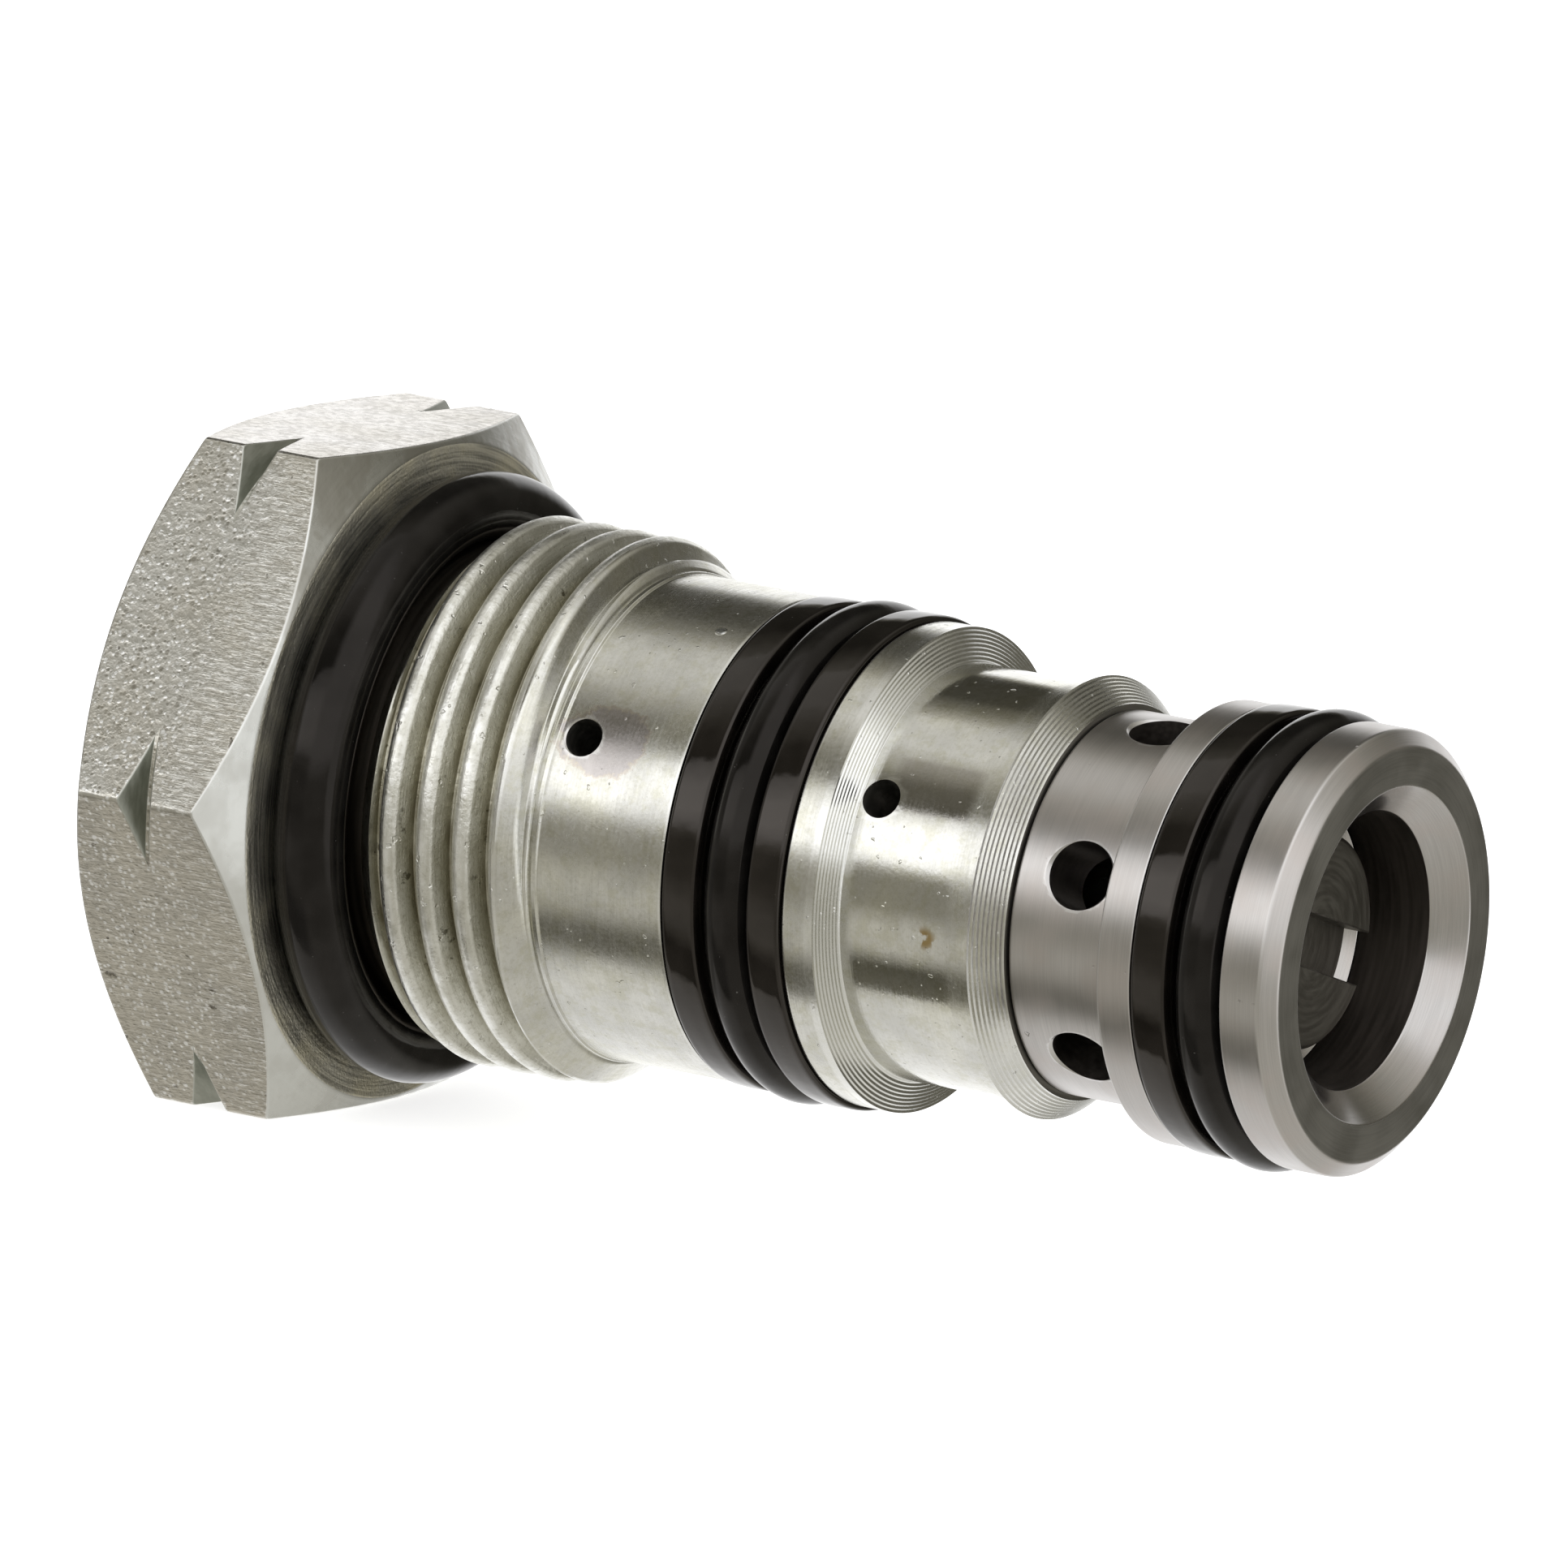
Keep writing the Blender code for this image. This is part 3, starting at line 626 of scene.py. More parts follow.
    def spot(self, station, angle, radius, size):
        """1 at a point of the surface, given by its station, angle and radius, fading to 0 size mm away."""
        turn = math.radians(angle)
        point = (station, -radius * math.cos(turn), radius * math.sin(turn))
        made = self.tree.nodes.new("ShaderNodeVectorMath")
        made.operation = "DISTANCE"
        self.put(made.inputs[0], self.mm)
        self.put(made.inputs[1], point)
        return self.ease(made.outputs["Value"], size, 0.35 * size)

    def grit(self, scale, share, seed):
        """Rounded separate grains, scale per millimetre: 1 at the middle of a share of them, 0 elsewhere."""
        made = self.node("TexVoronoi", Vector=self.shifted(self.mm, seed), Scale=scale)
        chosen = self.node("SeparateXYZ", Vector=made.outputs["Color"]).outputs["X"]
        grain = self.ease(made.outputs["Distance"], 0.55, 0.2)
        return self.times(grain, self.ease(chosen, 1 - share, 1.02 - share))

    def oval(self, station, half_length, angle, half_angle):
        """Distance from a point of a turned surface: 1 on an oval of this size round it."""
        along = self.math("DIVIDE", self.minus(self.x, station), half_length)
        across = self.math("DIVIDE", self.minus(self.turn(), angle), half_angle)
        return self.length(along, across)

    def turn(self):
        """Angle round the axis in degrees, from -Y towards +Z."""
        angle = self.math("ARCTAN2", self.z, self.times(self.y, -1.0))
        return self.times(angle, 180 / math.pi)

    def between(self, value, low, high, soft):
        """1 while value lies between low and high, with soft borders."""
        rising = self.ease(value, low - soft, low + soft)
        return self.times(rising, self.ease(value, high + soft, high - soft))

    def patch(self, stations, angles, soft_mm, soft_degrees):
        """1 inside a rectangle on the surface, between two stations and two angles, with soft borders."""
        along = self.between(self.x, *stations, soft_mm)
        return self.times(along, self.between(self.turn(), *angles, soft_degrees))


def tinted(colour, red, green, blue):
    """The colour with each of its channels multiplied."""
    return (colour[0] * red, colour[1] * green, colour[2] * blue)


def shaded(colour, share):
    """The colour made darker or brighter."""
    return tinted(colour, share, share, share)


def zinc_plate():
    """Bright zinc on turned steel: fine lines, cloudy patches, oil marks, a polished waist with a painted
    dark reflection on it, and cones brightened by a painted sheen.
    """
    colour = (0.74, 0.735, 0.695)
    f = Finish("zinc_plate", colour, 0.22)
    lean = f.node("SeparateXYZ", Vector=f.node("TexCoord").outputs["Normal"]).outputs["X"]
    lines = f.rings(14.0)
    cloud = f.noise(0.45, detail=4.0, rough=0.6, seed=1)
    fine = f.noise(9.0, detail=2.0, seed=2)
    film = f.ease(f.noise(0.35, detail=3.0, seed=3), 0.42, 0.75, 0.0, 0.7)
    base = f.mix(f.ease(cloud, 0.35, 0.68), shaded(colour, 0.84), colour)
    base = f.mix(film, base, tinted(colour, 1, 0.985, 0.88))
    base = f.mix(f.ease(lines, 0.3, 0.7, 0.0, 0.25), base, shaded(colour, 0.74))
    patina = f.noise(1.5, detail=5.0, rough=0.7, seed=4)
    base = f.mix(f.ease(patina, 0.46, 0.66, 0.0, 0.6), base, (0.56, 0.55, 0.45))
    speckle = f.noise(6.0, detail=3.0, rough=0.7, seed=6)
    base = f.mix(f.ease(speckle, 0.48, 0.66, 0.0, 0.3), base, (0.48, 0.47, 0.41))
    wavy = f.times(f.minus(patina, 0.5), 1.1)
    oil = f.plus(f.oval(19.0, 1.75, 27.8, 8.3), wavy)
    base = f.mix(f.ease(oil, 1.06, 0.9, 0.0, 0.8), base, (0.46, 0.425, 0.42))
    outline = f.times(f.ease(oil, 0.9, 1.0), f.ease(oil, 1.1, 1.0))
    base = f.mix(f.times(outline, 0.3), base, (0.50, 0.38, 0.27))
    # Painted reflection: a darker patch on the polished waist stands in for something dark that the waist
    # mirrors
    painted_dark_reflection = f.patch((30.1, 33.4), (26.5, 42.0), 0.25, 1.2)
    base = f.mix(f.times(painted_dark_reflection, 0.55), base, (0.36, 0.335, 0.31))
    patchy = f.ease(f.noise(2.2, detail=4.0, seed=5), 0.46, 0.56)
    stain = f.times(f.spot(32.5, -6.5, WAIST_R, 0.55), patchy)
    rust = f.ease(f.noise(0.9, detail=5.0, rough=0.7, seed=5), 0.70, 0.78, 0.0, 0.6)
    base = f.mix(f.math("MAXIMUM", rust, stain), base, (0.34, 0.25, 0.12))
    drop = f.spot(21.2, 64.0, SHANK_R, 0.24)
    base = f.mix(f.times(drop, 0.7), base, (0.33, 0.34, 0.36))
    # Painted sheen: the ridged cones' colour is lifted towards white
    painted_cone_sheen = f.times(f.ease(lean, 0.3, 0.45), f.ease(f.x, 28.3, 28.5))
    base = f.mix(f.times(painted_cone_sheen, 0.7), base, (0.90, 0.905, 0.89))
    base = f.mix(f.times(f.edge(), 0.45), base, (0.90, 0.90, 0.88))
    f.colour(base)
    polished = f.between(f.x, 29.4, 33.3, 0.25)
    rough = f.plus(f.ease(cloud, 0.3, 0.7, 0.25, 0.19), f.ease(fine, 0.3, 0.7, -0.02, 0.03))
    rough = f.plus(rough, f.ease(lines, 0.3, 0.7, -0.02, 0.03))
    f.roughness(f.minus(rough, f.times(polished, 0.12)))
    f.bump(lines, 2.6)
    f.bump(fine, 1.4)
    specks = f.ease(f.noise(3.6, detail=1.0, seed=7), 0.73, 0.79)
    f.bump(specks, 14.0)
    f.bump(drop, 60.0)
    return f.material


def hex_flat_finish():
    """Plated bar stock: fine peened grains, short strokes along the axis towards the seat face, and painted
    shade on the faces that turn downwards.
    """
    f = Finish("zinc_bar_flat", (0.66, 0.645, 0.60), 0.33)
    upward = f.node("SeparateXYZ", Vector=f.node("TexCoord").outputs["Normal"]).outputs["Z"]
    smooth_top = f.ease(upward, 0.8, 0.95)
    rough_part = f.minus(1.0, f.times(smooth_top, 0.9))
    towards_seat = f.math("MAXIMUM", f.ease(f.x, 3.4, 5.4), f.ease(upward, -0.1, -0.4, 0.0, 0.6))
    peened = f.times(rough_part, f.minus(1.0, f.times(towards_seat, 0.7)))
    grains = f.noise(3.4, detail=3.0, rough=0.6, seed=11)
    glints = f.math("MAXIMUM", f.grit(5.6, 0.36, 15), f.grit(4.0, 0.12, 16))
    dents = f.math("MAXIMUM", f.grit(6.0, 0.34, 17), f.grit(3.6, 0.12, 18))
    strokes = f.noise(1.0, detail=3.0, rough=0.7, stretch=(1.3, 9.0, 9.0), seed=12)
    cloud = f.noise(0.28, detail=3.0, seed=13)
    pits = f.ease(f.noise(1.4, detail=3.0, seed=14), 0.70, 0.76)
    # Painted shade and light: darker and browner on the faces that turn downwards, paler on those that turn
    # up
    base = f.mix(f.ease(upward, -0.7, 0.6), (0.45, 0.42, 0.355), (0.76, 0.75, 0.70))
    base = f.mix(smooth_top, base, (0.78, 0.755, 0.725))
    dull = f.times(f.ease(grains, 0.36, 0.6, 0.4, 0.0), rough_part)
    base = f.mix(dull, base, (0.40, 0.38, 0.33))
    base = f.mix(f.times(dents, peened, 0.75), base, (0.25, 0.235, 0.195))
    dark_strokes = f.times(f.ease(strokes, 0.42, 0.56, 0.6, 0.0), towards_seat)
    base = f.mix(dark_strokes, base, (0.40, 0.375, 0.32))
    bright_strokes = f.times(f.ease(strokes, 0.55, 0.66, 0.0, 0.6), towards_seat)
    base = f.mix(bright_strokes, base, (0.9, 0.89, 0.86))
    base = f.mix(f.ease(cloud, 0.35, 0.65, 0.0, 0.4), base, (0.56, 0.52, 0.43))
    base = f.mix(f.times(glints, peened, 0.9), base, (0.97, 0.97, 0.95))
    base = f.mix(f.times(pits, 0.8), base, (0.12, 0.105, 0.08))
    base = f.mix(f.times(f.edge(), 0.2), base, (0.9, 0.9, 0.88))
    f.colour(base)
    f.roughness(f.minus(f.ease(grains, 0.3, 0.7, 0.4, 0.28), f.times(smooth_top, 0.06)))
    f.bump(f.times(grains, rough_part), 30.0)
    f.bump(f.times(strokes, towards_seat, rough_part), 26.0)
    f.bump(f.times(glints, peened), 5.0)
    f.bump(f.times(dents, peened), -6.0)
    f.bump(pits, -30.0)
    return f.material


def chamfer_finish():
    """The head's turned chamfers: smooth below, with broad dull blotches towards the top."""
    colour = (0.68, 0.685, 0.66)
    f = Finish("zinc_chamfer", colour, 0.24)
    mottled = f.ease(f.z, 4.0, 8.5, 0.3, 1.0)
    blotch = f.noise(0.42, detail=3.0, rough=0.55, seed=16)
    small = f.noise(1.8, detail=3.0, seed=17)
    base = f.mix(f.times(f.ease(blotch, 0.58, 0.42), mottled), colour, (0.52, 0.51, 0.47))
    base = f.mix(f.times(f.ease(small, 0.5, 0.7, 0.0, 0.5), mottled), base, (0.5, 0.49, 0.44))
    base = f.mix(f.times(f.edge(), 0.3), base, (0.92, 0.92, 0.9))
    f.colour(base)
    f.roughness(f.ease(blotch, 0.35, 0.65, 0.32, 0.24))
    f.bump(f.rings(5.0, round_trip=2.5), 5.0)
    f.bump(small, 8.0)
    return f.material


def notch_finish():
    """Darker steel in the corner notches, with strokes along the cut."""
    f = Finish("notch_cut", (0.40, 0.41, 0.36), 0.3)
    strokes = f.noise(1.0, detail=3.0, rough=0.6, stretch=(9.0, 1.2, 1.2), seed=18)
    base = f.mix(f.ease(strokes, 0.3, 0.7), (0.33, 0.34, 0.295), (0.42, 0.43, 0.38))
    f.colour(f.mix(f.times(f.edge(), 0.4), base, (0.8, 0.8, 0.77)))
    f.roughness(f.ease(strokes, 0.3, 0.7, 0.34, 0.42))
    f.bump(strokes, 4.0)
    return f.material


def thread_finish():
    """Plated thread: lined flanks, a yellowish film and painted shade in the roots, dirt near the start,
    nicked crests with a painted highlight along them.
    """
    colour = (0.76, 0.755, 0.70)
    f = Finish("zinc_thread", colour, 0.27)
    lines = f.rings(16.0, round_trip=9.0)
    cloud = f.noise(0.8, detail=4.0, seed=21)
    root_film_and_shade = f.ease(f.r, 9.5, 9.05)
    base = f.mix(f.ease(cloud, 0.35, 0.7), (0.62, 0.61, 0.54), colour)
    # Yellowish film and painted shade in the roots
    base = f.mix(f.times(root_film_and_shade, f.ease(cloud, 0.3, 0.6, 0.45, 0.85)), base, (0.42, 0.40, 0.31))
    speckle = f.noise(7.0, detail=3.0, rough=0.7, seed=25)
    base = f.mix(f.ease(speckle, 0.5, 0.66, 0.0, 0.45), base, (0.40, 0.385, 0.31))
    # Painted shade, darkest at the bottom of the roots
    root_bottom_shade = f.times(f.ease(f.r, 9.2, 9.0), f.ease(cloud, 0.35, 0.6, 0.1, 0.7))
    base = f.mix(root_bottom_shade, base, (0.27, 0.25, 0.185))
    # Painted highlight along the crests, broken up by noise
    highlight_breaks = f.ease(f.noise(1.4, detail=3.0, seed=26), 0.4, 0.6, 0.15, 0.8)
    crest = f.times(f.ease(f.r, 9.76, 9.87), highlight_breaks)
    base = f.mix(crest, base, (0.96, 0.96, 0.93))
    grime = f.times(f.patch((11.0, 12.1), (-13.0, 5.0), 0.3, 4.0), 0.16)
    spots = f.plus(f.noise(1.6, detail=4.0, rough=0.7, seed=22), grime)
    dirt = f.times(f.ease(spots, 0.62, 0.70), f.ease(f.r, 9.8, 9.3))
    base = f.mix(f.times(dirt, 0.85), base, (0.11, 0.10, 0.065))
    base = f.mix(f.times(f.edge(), 0.3), base, (0.92, 0.92, 0.89))
    f.colour(base)
    f.roughness(f.plus(f.ease(lines, 0.3, 0.7, 0.26, 0.36), f.ease(speckle, 0.4, 0.65, 0.0, 0.08)))
    nicks = f.times(f.ease(f.noise(2.4, detail=2.0, seed=24), 0.66, 0.73), f.ease(f.r, 9.3, 9.8))
    f.bump(lines, 12.0)
    f.bump(f.noise(4.0, detail=3.0, seed=23), 16.0)
    f.bump(speckle, 14.0)
    f.bump(nicks, -32.0)
    return f.material


def face_finish(name, colour, roughness, per_mm, contrast, depth, grain):
    """A faced surface with concentric tool marks."""
    f = Finish(name, colour, roughness)
    marks = f.rings(per_mm, round_trip=3.0, detail=4.0)
    cloud = f.noise(0.5, detail=3.0, seed=31)
    base = f.mix(f.ease(marks, 0.36, 0.6), shaded(colour, 1 - contrast), colour)
    base = f.mix(f.ease(cloud, 0.4, 0.7, 0.0, contrast), base, tinted(colour, 0.84, 0.80, 0.66))
    base = f.mix(f.times(f.edge(), 0.6), base, (0.8, 0.8, 0.77))
    f.colour(base)
    f.roughness(f.ease(cloud, 0.3, 0.7, roughness - 0.05, roughness + 0.07))
    f.bump(marks, depth)
    f.bump(f.noise(7.0, detail=2.0, seed=32), grain)
    return f.material


def ground_steel(name, colour, roughness):
    """Unplated ground steel: dense fine lines round the axis, faint heat tint, polished edges."""
    f = Finish(name, colour, roughness)
    fine = f.rings(30.0, round_trip=3.0, detail=2.0)
    wide = f.rings(2.6, round_trip=1.2, detail=4.0)
    cloud = f.noise(0.5, detail=3.0, seed=41)
    base = f.mix(f.ease(fine, 0.3, 0.7), shaded(colour, 0.93), shaded(colour, 1.05))
    base = f.mix(f.ease(wide, 0.45, 0.7, 0.0, 0.25), base, shaded(colour, 0.84))
    base = f.mix(f.ease(cloud, 0.4, 0.7, 0.0, 0.5), base, tinted(colour, 1.04, 0.98, 0.95))
    base = f.mix(f.times(f.edge(), 0.55), base, (0.78, 0.77, 0.76))
    f.colour(base)
    f.roughness(f.ease(cloud, 0.3, 0.7, roughness - 0.02, roughness + 0.05))
    f.bump(fine, 0.5)
    f.bump(wide, 1.0)
    f.bump(f.ease(f.noise(1.9, detail=2.0, seed=43), 0.76, 0.80), -14.0)
    return f.material


def dark_bore(name, colour, roughness=0.42):
    """Machined inner faces with tool marks, their colour darkened as painted shade."""
    f = Finish(name, colour, roughness)
    marks = f.rings(6.0, round_trip=2.0, detail=2.0)
    f.colour(f.mix(f.ease(marks, 0.3, 0.7), shaded(colour, 0.75), colour))
    f.roughness(f.ease(marks, 0.3, 0.7, roughness - 0.02, roughness + 0.08))
    f.bump(marks, 4.0)
    return f.material


def rubber(name, colour, roughness, film, shine):
    """Smooth black seal of rubber or plastic, with an uneven film of oil and some dust."""
    f = Finish(name, colour, roughness, metallic=0.0, Specular_IOR_Level=shine, Specular_Tint=SEAL_TINT)
    waves = f.noise(0.7, detail=2.0, seed=51)
    fine = f.noise(7.0, detail=2.0, seed=52)
    dust = f.ease(f.noise(5.0, detail=2.0, rough=0.6, seed=53), 0.74, 0.80, 0.0, 0.4)
    base = f.mix(f.ease(waves, 0.3, 0.7), shaded(colour, 0.6), shaded(colour, 1.3))
    f.colour(f.mix(dust, base, (0.16, 0.155, 0.145)))
    oily = f.ease(waves, 0.35, 0.7, roughness, roughness + film)
    f.roughness(f.plus(oily, f.times(dust, 0.35)))
    f.bump(waves, 18.0)
    f.bump(fine, 0.6)
    return f.material


def bronze():
    """Turned bronze of the guide bush."""
    f = Finish("bronze_turned", (0.56, 0.4, 0.22), 0.35)
    marks = f.rings(8.0)
    f.colour(f.mix(f.ease(marks, 0.3, 0.7), (0.42, 0.29, 0.15), (0.62, 0.45, 0.26)))
    f.roughness(f.ease(marks, 0.3, 0.7, 0.3, 0.42))
    f.bump(marks, 6.0)
    return f.material


def wire():
    """Drawn spring wire."""
    f = Finish("spring_wire", (0.36, 0.35, 0.34), 0.32)
    drawn = f.noise(1.2, detail=3.0, seed=61)
    f.colour(f.mix(f.ease(drawn, 0.3, 0.7), (0.27, 0.26, 0.25), (0.42, 0.41, 0.4)))
    f.roughness(f.ease(drawn, 0.3, 0.7, 0.26, 0.4))
    f.bump(f.noise(6.0, detail=2.0, seed=62), 3.0)
    return f.material


def body_zone(x, r, lean):
    """Which finish a face of the body has, from its place and from how far its normal leans to the axis."""
    if r < BODY_BORES_R and x > 13.0:
        return "bore"
    if x < HEX_HEIGHT + 0.1 and lean > FULL_LEAN:
        return "end" if x < 1.0 else "seat"
    if x < HEX_HEIGHT and r > NOTCH_FLOOR_R - 0.1 and abs(x - NOTCH_X) < 1.0 and lean > SLIGHT_LEAN:
        return "notch"
    if x < HEX_HEIGHT and r > 11.0:
        return "chamfer" if lean > SLIGHT_LEAN else "flat"
    if x < THREAD_X[0] + 0.01:
        return "relief"
    return "thread" if x < 16.0 else "plate"


def cage_zone(x, r, lean):
    """Which finish a face of the cage has, from its place and from how far its normal leans to the axis."""
    if x > NOSE_X - 0.13 and lean > FULL_LEAN:
        return "face"
    if r > CAGE_BORES_R:
        return "outside"
    return "countersink" if x > COUNTERSINK_X - 0.03 else "bore"


def paint(obj, finishes, zone):
    """Gives each face of the piece the finish of its zone."""
    names = list(finishes)
    obj.data.materials.clear()
    for name in names:
        obj.data.materials.append(finishes[name])
    for face in obj.data.polygons:
        x, y, z = face.center / MM
        face.material_index = names.index(zone(x, math.hypot(y, z), abs(face.normal.x)))


def body_finishes():
    """The finishes of the body's zones."""
    seat = face_finish("zinc_seat_face", (0.82, 0.79, 0.68), 0.5, 9.0, contrast=0.5, depth=26.0, grain=34.0)
    end = face_finish("zinc_end_face", (0.72, 0.71, 0.66), 0.34, 16.0, contrast=0.22, depth=5.0, grain=3.0)
    return {
        "plate": zinc_plate(),
        "flat": hex_flat_finish(),
        "chamfer": chamfer_finish(),
        "notch": notch_finish(),
        "thread": thread_finish(),
        "seat": seat,
        "end": end,
        # Painted shade: the relief under the O-ring and the bores are darkened
        "relief": dark_bore("relief_painted_shade", (0.34, 0.30, 0.25), 0.3),
        "bore": dark_bore("body_bore", (0.3, 0.29, 0.26)),
    }


def cage_finishes():
    """The finishes of the cage's zones."""
    face = face_finish("nose_faced", (0.43, 0.42, 0.395), 0.42, 12.0, contrast=0.12, depth=1.5, grain=2.0)
    return {
        "outside": ground_steel("cage_ground", (0.52, 0.50, 0.485), 0.3),
        "face": face,
        # Painted shade: the inside of the nose is darkened
        "bore": dark_bore("cage_bore", (0.17, 0.15, 0.135)),
        "countersink": ground_steel("cage_countersink", (0.50, 0.485, 0.475), 0.2),
    }


# ---------------------------------------------------------------- assembly


def place(obj, body, node, slot, material=None):
    """Makes a detailed piece stand for its CAD node and ride on that node's body."""
    if material:
        obj.data.materials.clear()
        obj.data.materials.append(material)
    mark_wear(obj.data)
    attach(obj, body)
    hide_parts(node)


body = valve_body()
paint(body, body_finishes(), body_zone)
place(body, "cartridge", "valve_body", "zinc_plated_steel")

cage = valve_cage()
paint(cage, cage_finishes(), cage_zone)
place(cage, "cartridge", "valve_cage", "ground_steel")

black_rubber = rubber("seal_rubber_oiled", (0.006, 0.0055, 0.005), 0.07, 0.05, shine=0.25)
black_plastic = rubber("backup_ring_gloss", (0.006, 0.005, 0.0042), 0.035, 0.02, shine=0.55)
for node, sizes in O_RINGS.items():
    place(o_ring(node + "_smooth", *sizes), "cartridge", node, "seal_rubber", black_rubber)
for node, sizes in FLAT_RINGS.items():
    place(flat_ring(node + "_smooth", *sizes), "cartridge", node, "backup_plastic", black_plastic)

hardened = ground_steel("hardened_ground", (0.5, 0.48, 0.46), 0.24)
place(seat_ring(), "cartridge", "seat_ring", "hardened_steel", hardened)
# Painted shade: the poppet deep inside the nose is darkened
shaded_poppet_steel = dark_bore("poppet_painted_shade", (0.24, 0.23, 0.205))
place(check_poppet(), "check_poppet", "check_poppet", "hardened_steel", shaded_poppet_steel)

spring_finish = wire()
return_spring = spring("pilot_return_spring_wound", *RETURN_SPRING)
place(return_spring, "cartridge", "pilot_return_spring", "spring_steel", spring_finish)
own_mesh(return_spring)
check_spring = spring("check_spring_wound", *CHECK_SPRING)
place(check_spring, "pilot_piston", "check_spring", "spring_steel", spring_finish)
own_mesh(check_spring)

KEPT_NODES = {
    "cage_o_ring": black_rubber,
    "pilot_piston_o_ring": black_rubber,
    "pilot_piston_backup_ring": black_plastic,
    "spring_seat_washer": hardened,
    "pilot_piston": hardened,
    "piston_plug": hardened,
    "poppet_stem": hardened,
    "stem_collar": hardened,
    "bush_retaining_ring": spring_finish,
    "guide_bush": bronze(),
}
for node, material in KEPT_NODES.items():
    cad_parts[node].material_slots[0].material = material


# ---------------------------------------------------------------- studio


def floor():
    """A plain pale floor that the head lies on."""
    half = FLOOR_SIDE / 2 * MM
    corners = [(-half, -half, 0), (half, -half, 0), (half, half, 0), (-half, half, 0)]
    mesh = bpy.data.meshes.new("floor")
    mesh.from_pydata(corners, [], [(0, 1, 2, 3)])
    plane = add_object("floor", mesh)
    plane.location.z = FLOOR_Z * MM
    plane.visible_glossy = False
    material = bpy.data.materials.new("pale_floor")
    material.use_nodes = True
    shader = material.node_tree.nodes["Principled BSDF"]
    shader.inputs["Base Color"].default_value = FLOOR_COLOUR
    shader.inputs["Roughness"].default_value = 0.9
    shader.inputs["Specular IOR Level"].default_value = 0.0
    shader.inputs["Emission Color"].default_value = (1, 1, 1, 1)
    shader.inputs["Emission Strength"].default_value = FLOOR_GLOW
    mesh.materials.append(material)


# Brightness that the metal mirrors, by the direction's angle round the valve's axis: light panels with dark
# gaps between them, first for directions that lean to the head and then for those that lean to the nose
HEAD_SIDE_LIGHT = (
    (-180, 1.35), (-140, 1.25), (-112, 0.95), (-85, 0.87), (-72, 0.83), (-64, 0.7), (-62, 0.14), (-46, 0.1),
    (-40, 0.4), (-36, 0.58), (-24, 0.58), (-12, 0.3), (4, 0.28), (8, 0.5), (12, 1.4), (18, 1.75), (30, 1.7),
    (41, 0.95), (43, 0.14), (57, 0.18), (65, 0.42), (76, 0.68), (79, 0.8), (100, 0.72), (103, 0.45),
    (112, 0.2), (122, 0.06), (150, 0.05), (154, 0.3), (158, 1.35), (180, 1.35),
)
NOSE_SIDE_LIGHT = (
    (-180, 0.12), (-150, 0.12), (-135, 0.6), (-121, 0.72), (-85, 0.6), (-26, 0.42), (2, 0.45), (10, 1.25),
    (85, 1.3), (100, 0.7), (117, 0.55), (140, 0.25), (152, 0.13), (180, 0.12),
)
NOSE_END_LIGHT = (0.55, 0.55, 0.54)
HEAD_END_LIGHT = (0.16, 0.155, 0.14)
DARK_TINT = (1.0, 0.94, 0.72)
LIGHT_SCALE = 2.0


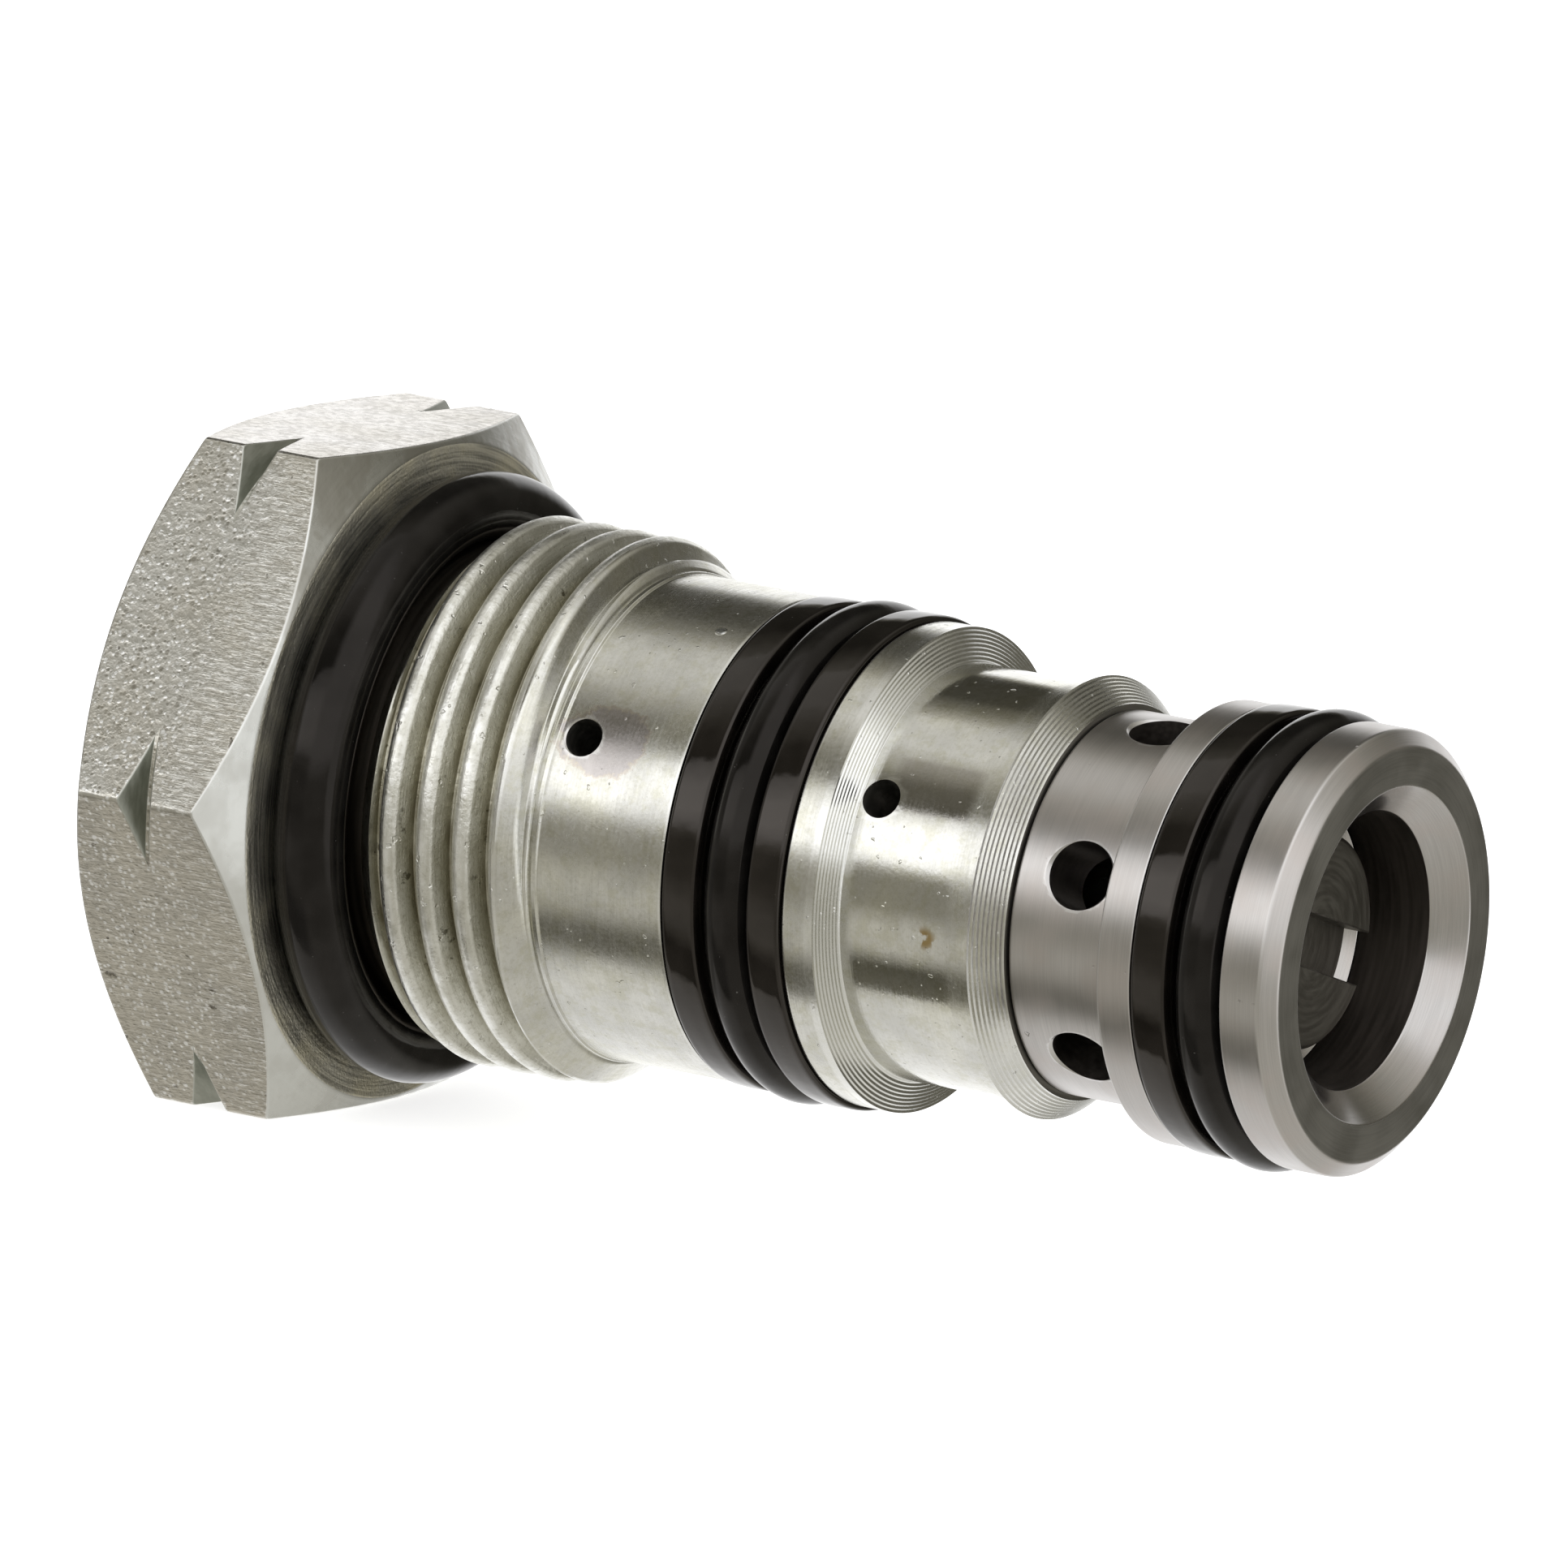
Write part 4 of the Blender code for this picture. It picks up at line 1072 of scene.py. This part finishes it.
class Sky:
    """The world's node tree, with short ways to add nodes."""

    def __init__(self):
        world = bpy.data.worlds.new("studio")
        bpy.context.scene.world = world
        world.use_nodes = True
        self.tree = world.node_tree
        self.tree.nodes.clear()

    node = Finish.node
    put = Finish.put
    math = Finish.math
    times = Finish.times
    plus = Finish.plus
    ease = Finish.ease
    mix = Finish.mix

    def ramp(self, share, lights):
        """The lights' brightness at this share of a turn; dark ones are a little warmer."""
        made = self.node("ValToRGB", Fac=share)
        stops = made.color_ramp.elements
        while len(stops) < len(lights):
            stops.new(0.5)
        for stop, (degrees, light) in zip(stops, lights):
            grey = min(light, 1.0)
            stop.position = degrees / 360 + 0.5
            stop.color = (*[light * (tint + (1 - tint) * grey) / LIGHT_SCALE for tint in DARK_TINT], 1)
        return made.outputs["Color"]


def studio():
    """Plain white light from all sides, and light panels with dark gaps for what the metal mirrors."""
    sky = Sky()
    direction = sky.node("TexCoord").outputs["Generated"]
    x, y, z = sky.node("SeparateXYZ", Vector=direction).outputs
    angle = sky.math("ARCTAN2", z, sky.times(y, -1.0))
    share = sky.plus(sky.times(angle, 0.5 / math.pi), 0.5)
    head_side, nose_side = sky.ramp(share, HEAD_SIDE_LIGHT), sky.ramp(share, NOSE_SIDE_LIGHT)
    mirrored = sky.mix(sky.ease(x, -0.15, 0.25), head_side, nose_side)
    mirrored = sky.mix(sky.ease(x, 0.9, 0.96), mirrored, NOSE_END_LIGHT)
    mirrored = sky.mix(sky.ease(x, -0.72, -0.84), mirrored, HEAD_END_LIGHT)
    glossy = sky.node("LightPath").outputs["Is Glossy Ray"]
    colour = sky.mix(glossy, (1.0, 1.0, 1.0), mirrored)
    strength = sky.ease(glossy, 0.0, 1.0, 1.0, LIGHT_SCALE)
    background = sky.node("Background", Color=colour, Strength=strength)
    output = sky.node("OutputWorld")
    sky.tree.links.new(background.outputs[0], output.inputs[0])


def camera():
    """The scene's camera: a long lens, as fitted to the valve's outlines."""
    azimuth, elevation, roll = (math.radians(a) for a in (CAMERA_AZIMUTH, CAMERA_ELEVATION, CAMERA_ROLL))
    level = math.cos(elevation)
    back = Vector((math.sin(azimuth) * level, -math.cos(azimuth) * level, math.sin(elevation)))
    right = (-back).cross(Vector((0, 0, 1))).normalized()
    up = right.cross(-back)
    right, up = math.cos(roll) * right + math.sin(roll) * up, -math.sin(roll) * right + math.cos(roll) * up
    data = bpy.data.cameras.new("camera")
    data.lens = CAMERA_LENS
    obj = add_object("camera", data)
    turn = Matrix((right, up, back)).transposed().to_4x4()
    obj.matrix_world = Matrix.Translation((Vector(CAMERA_AIM) + back * CAMERA_DISTANCE) * MM) @ turn
    bpy.context.scene.camera = obj


floor()
studio()
camera()
bpy.context.scene.view_settings.view_transform = "Standard"
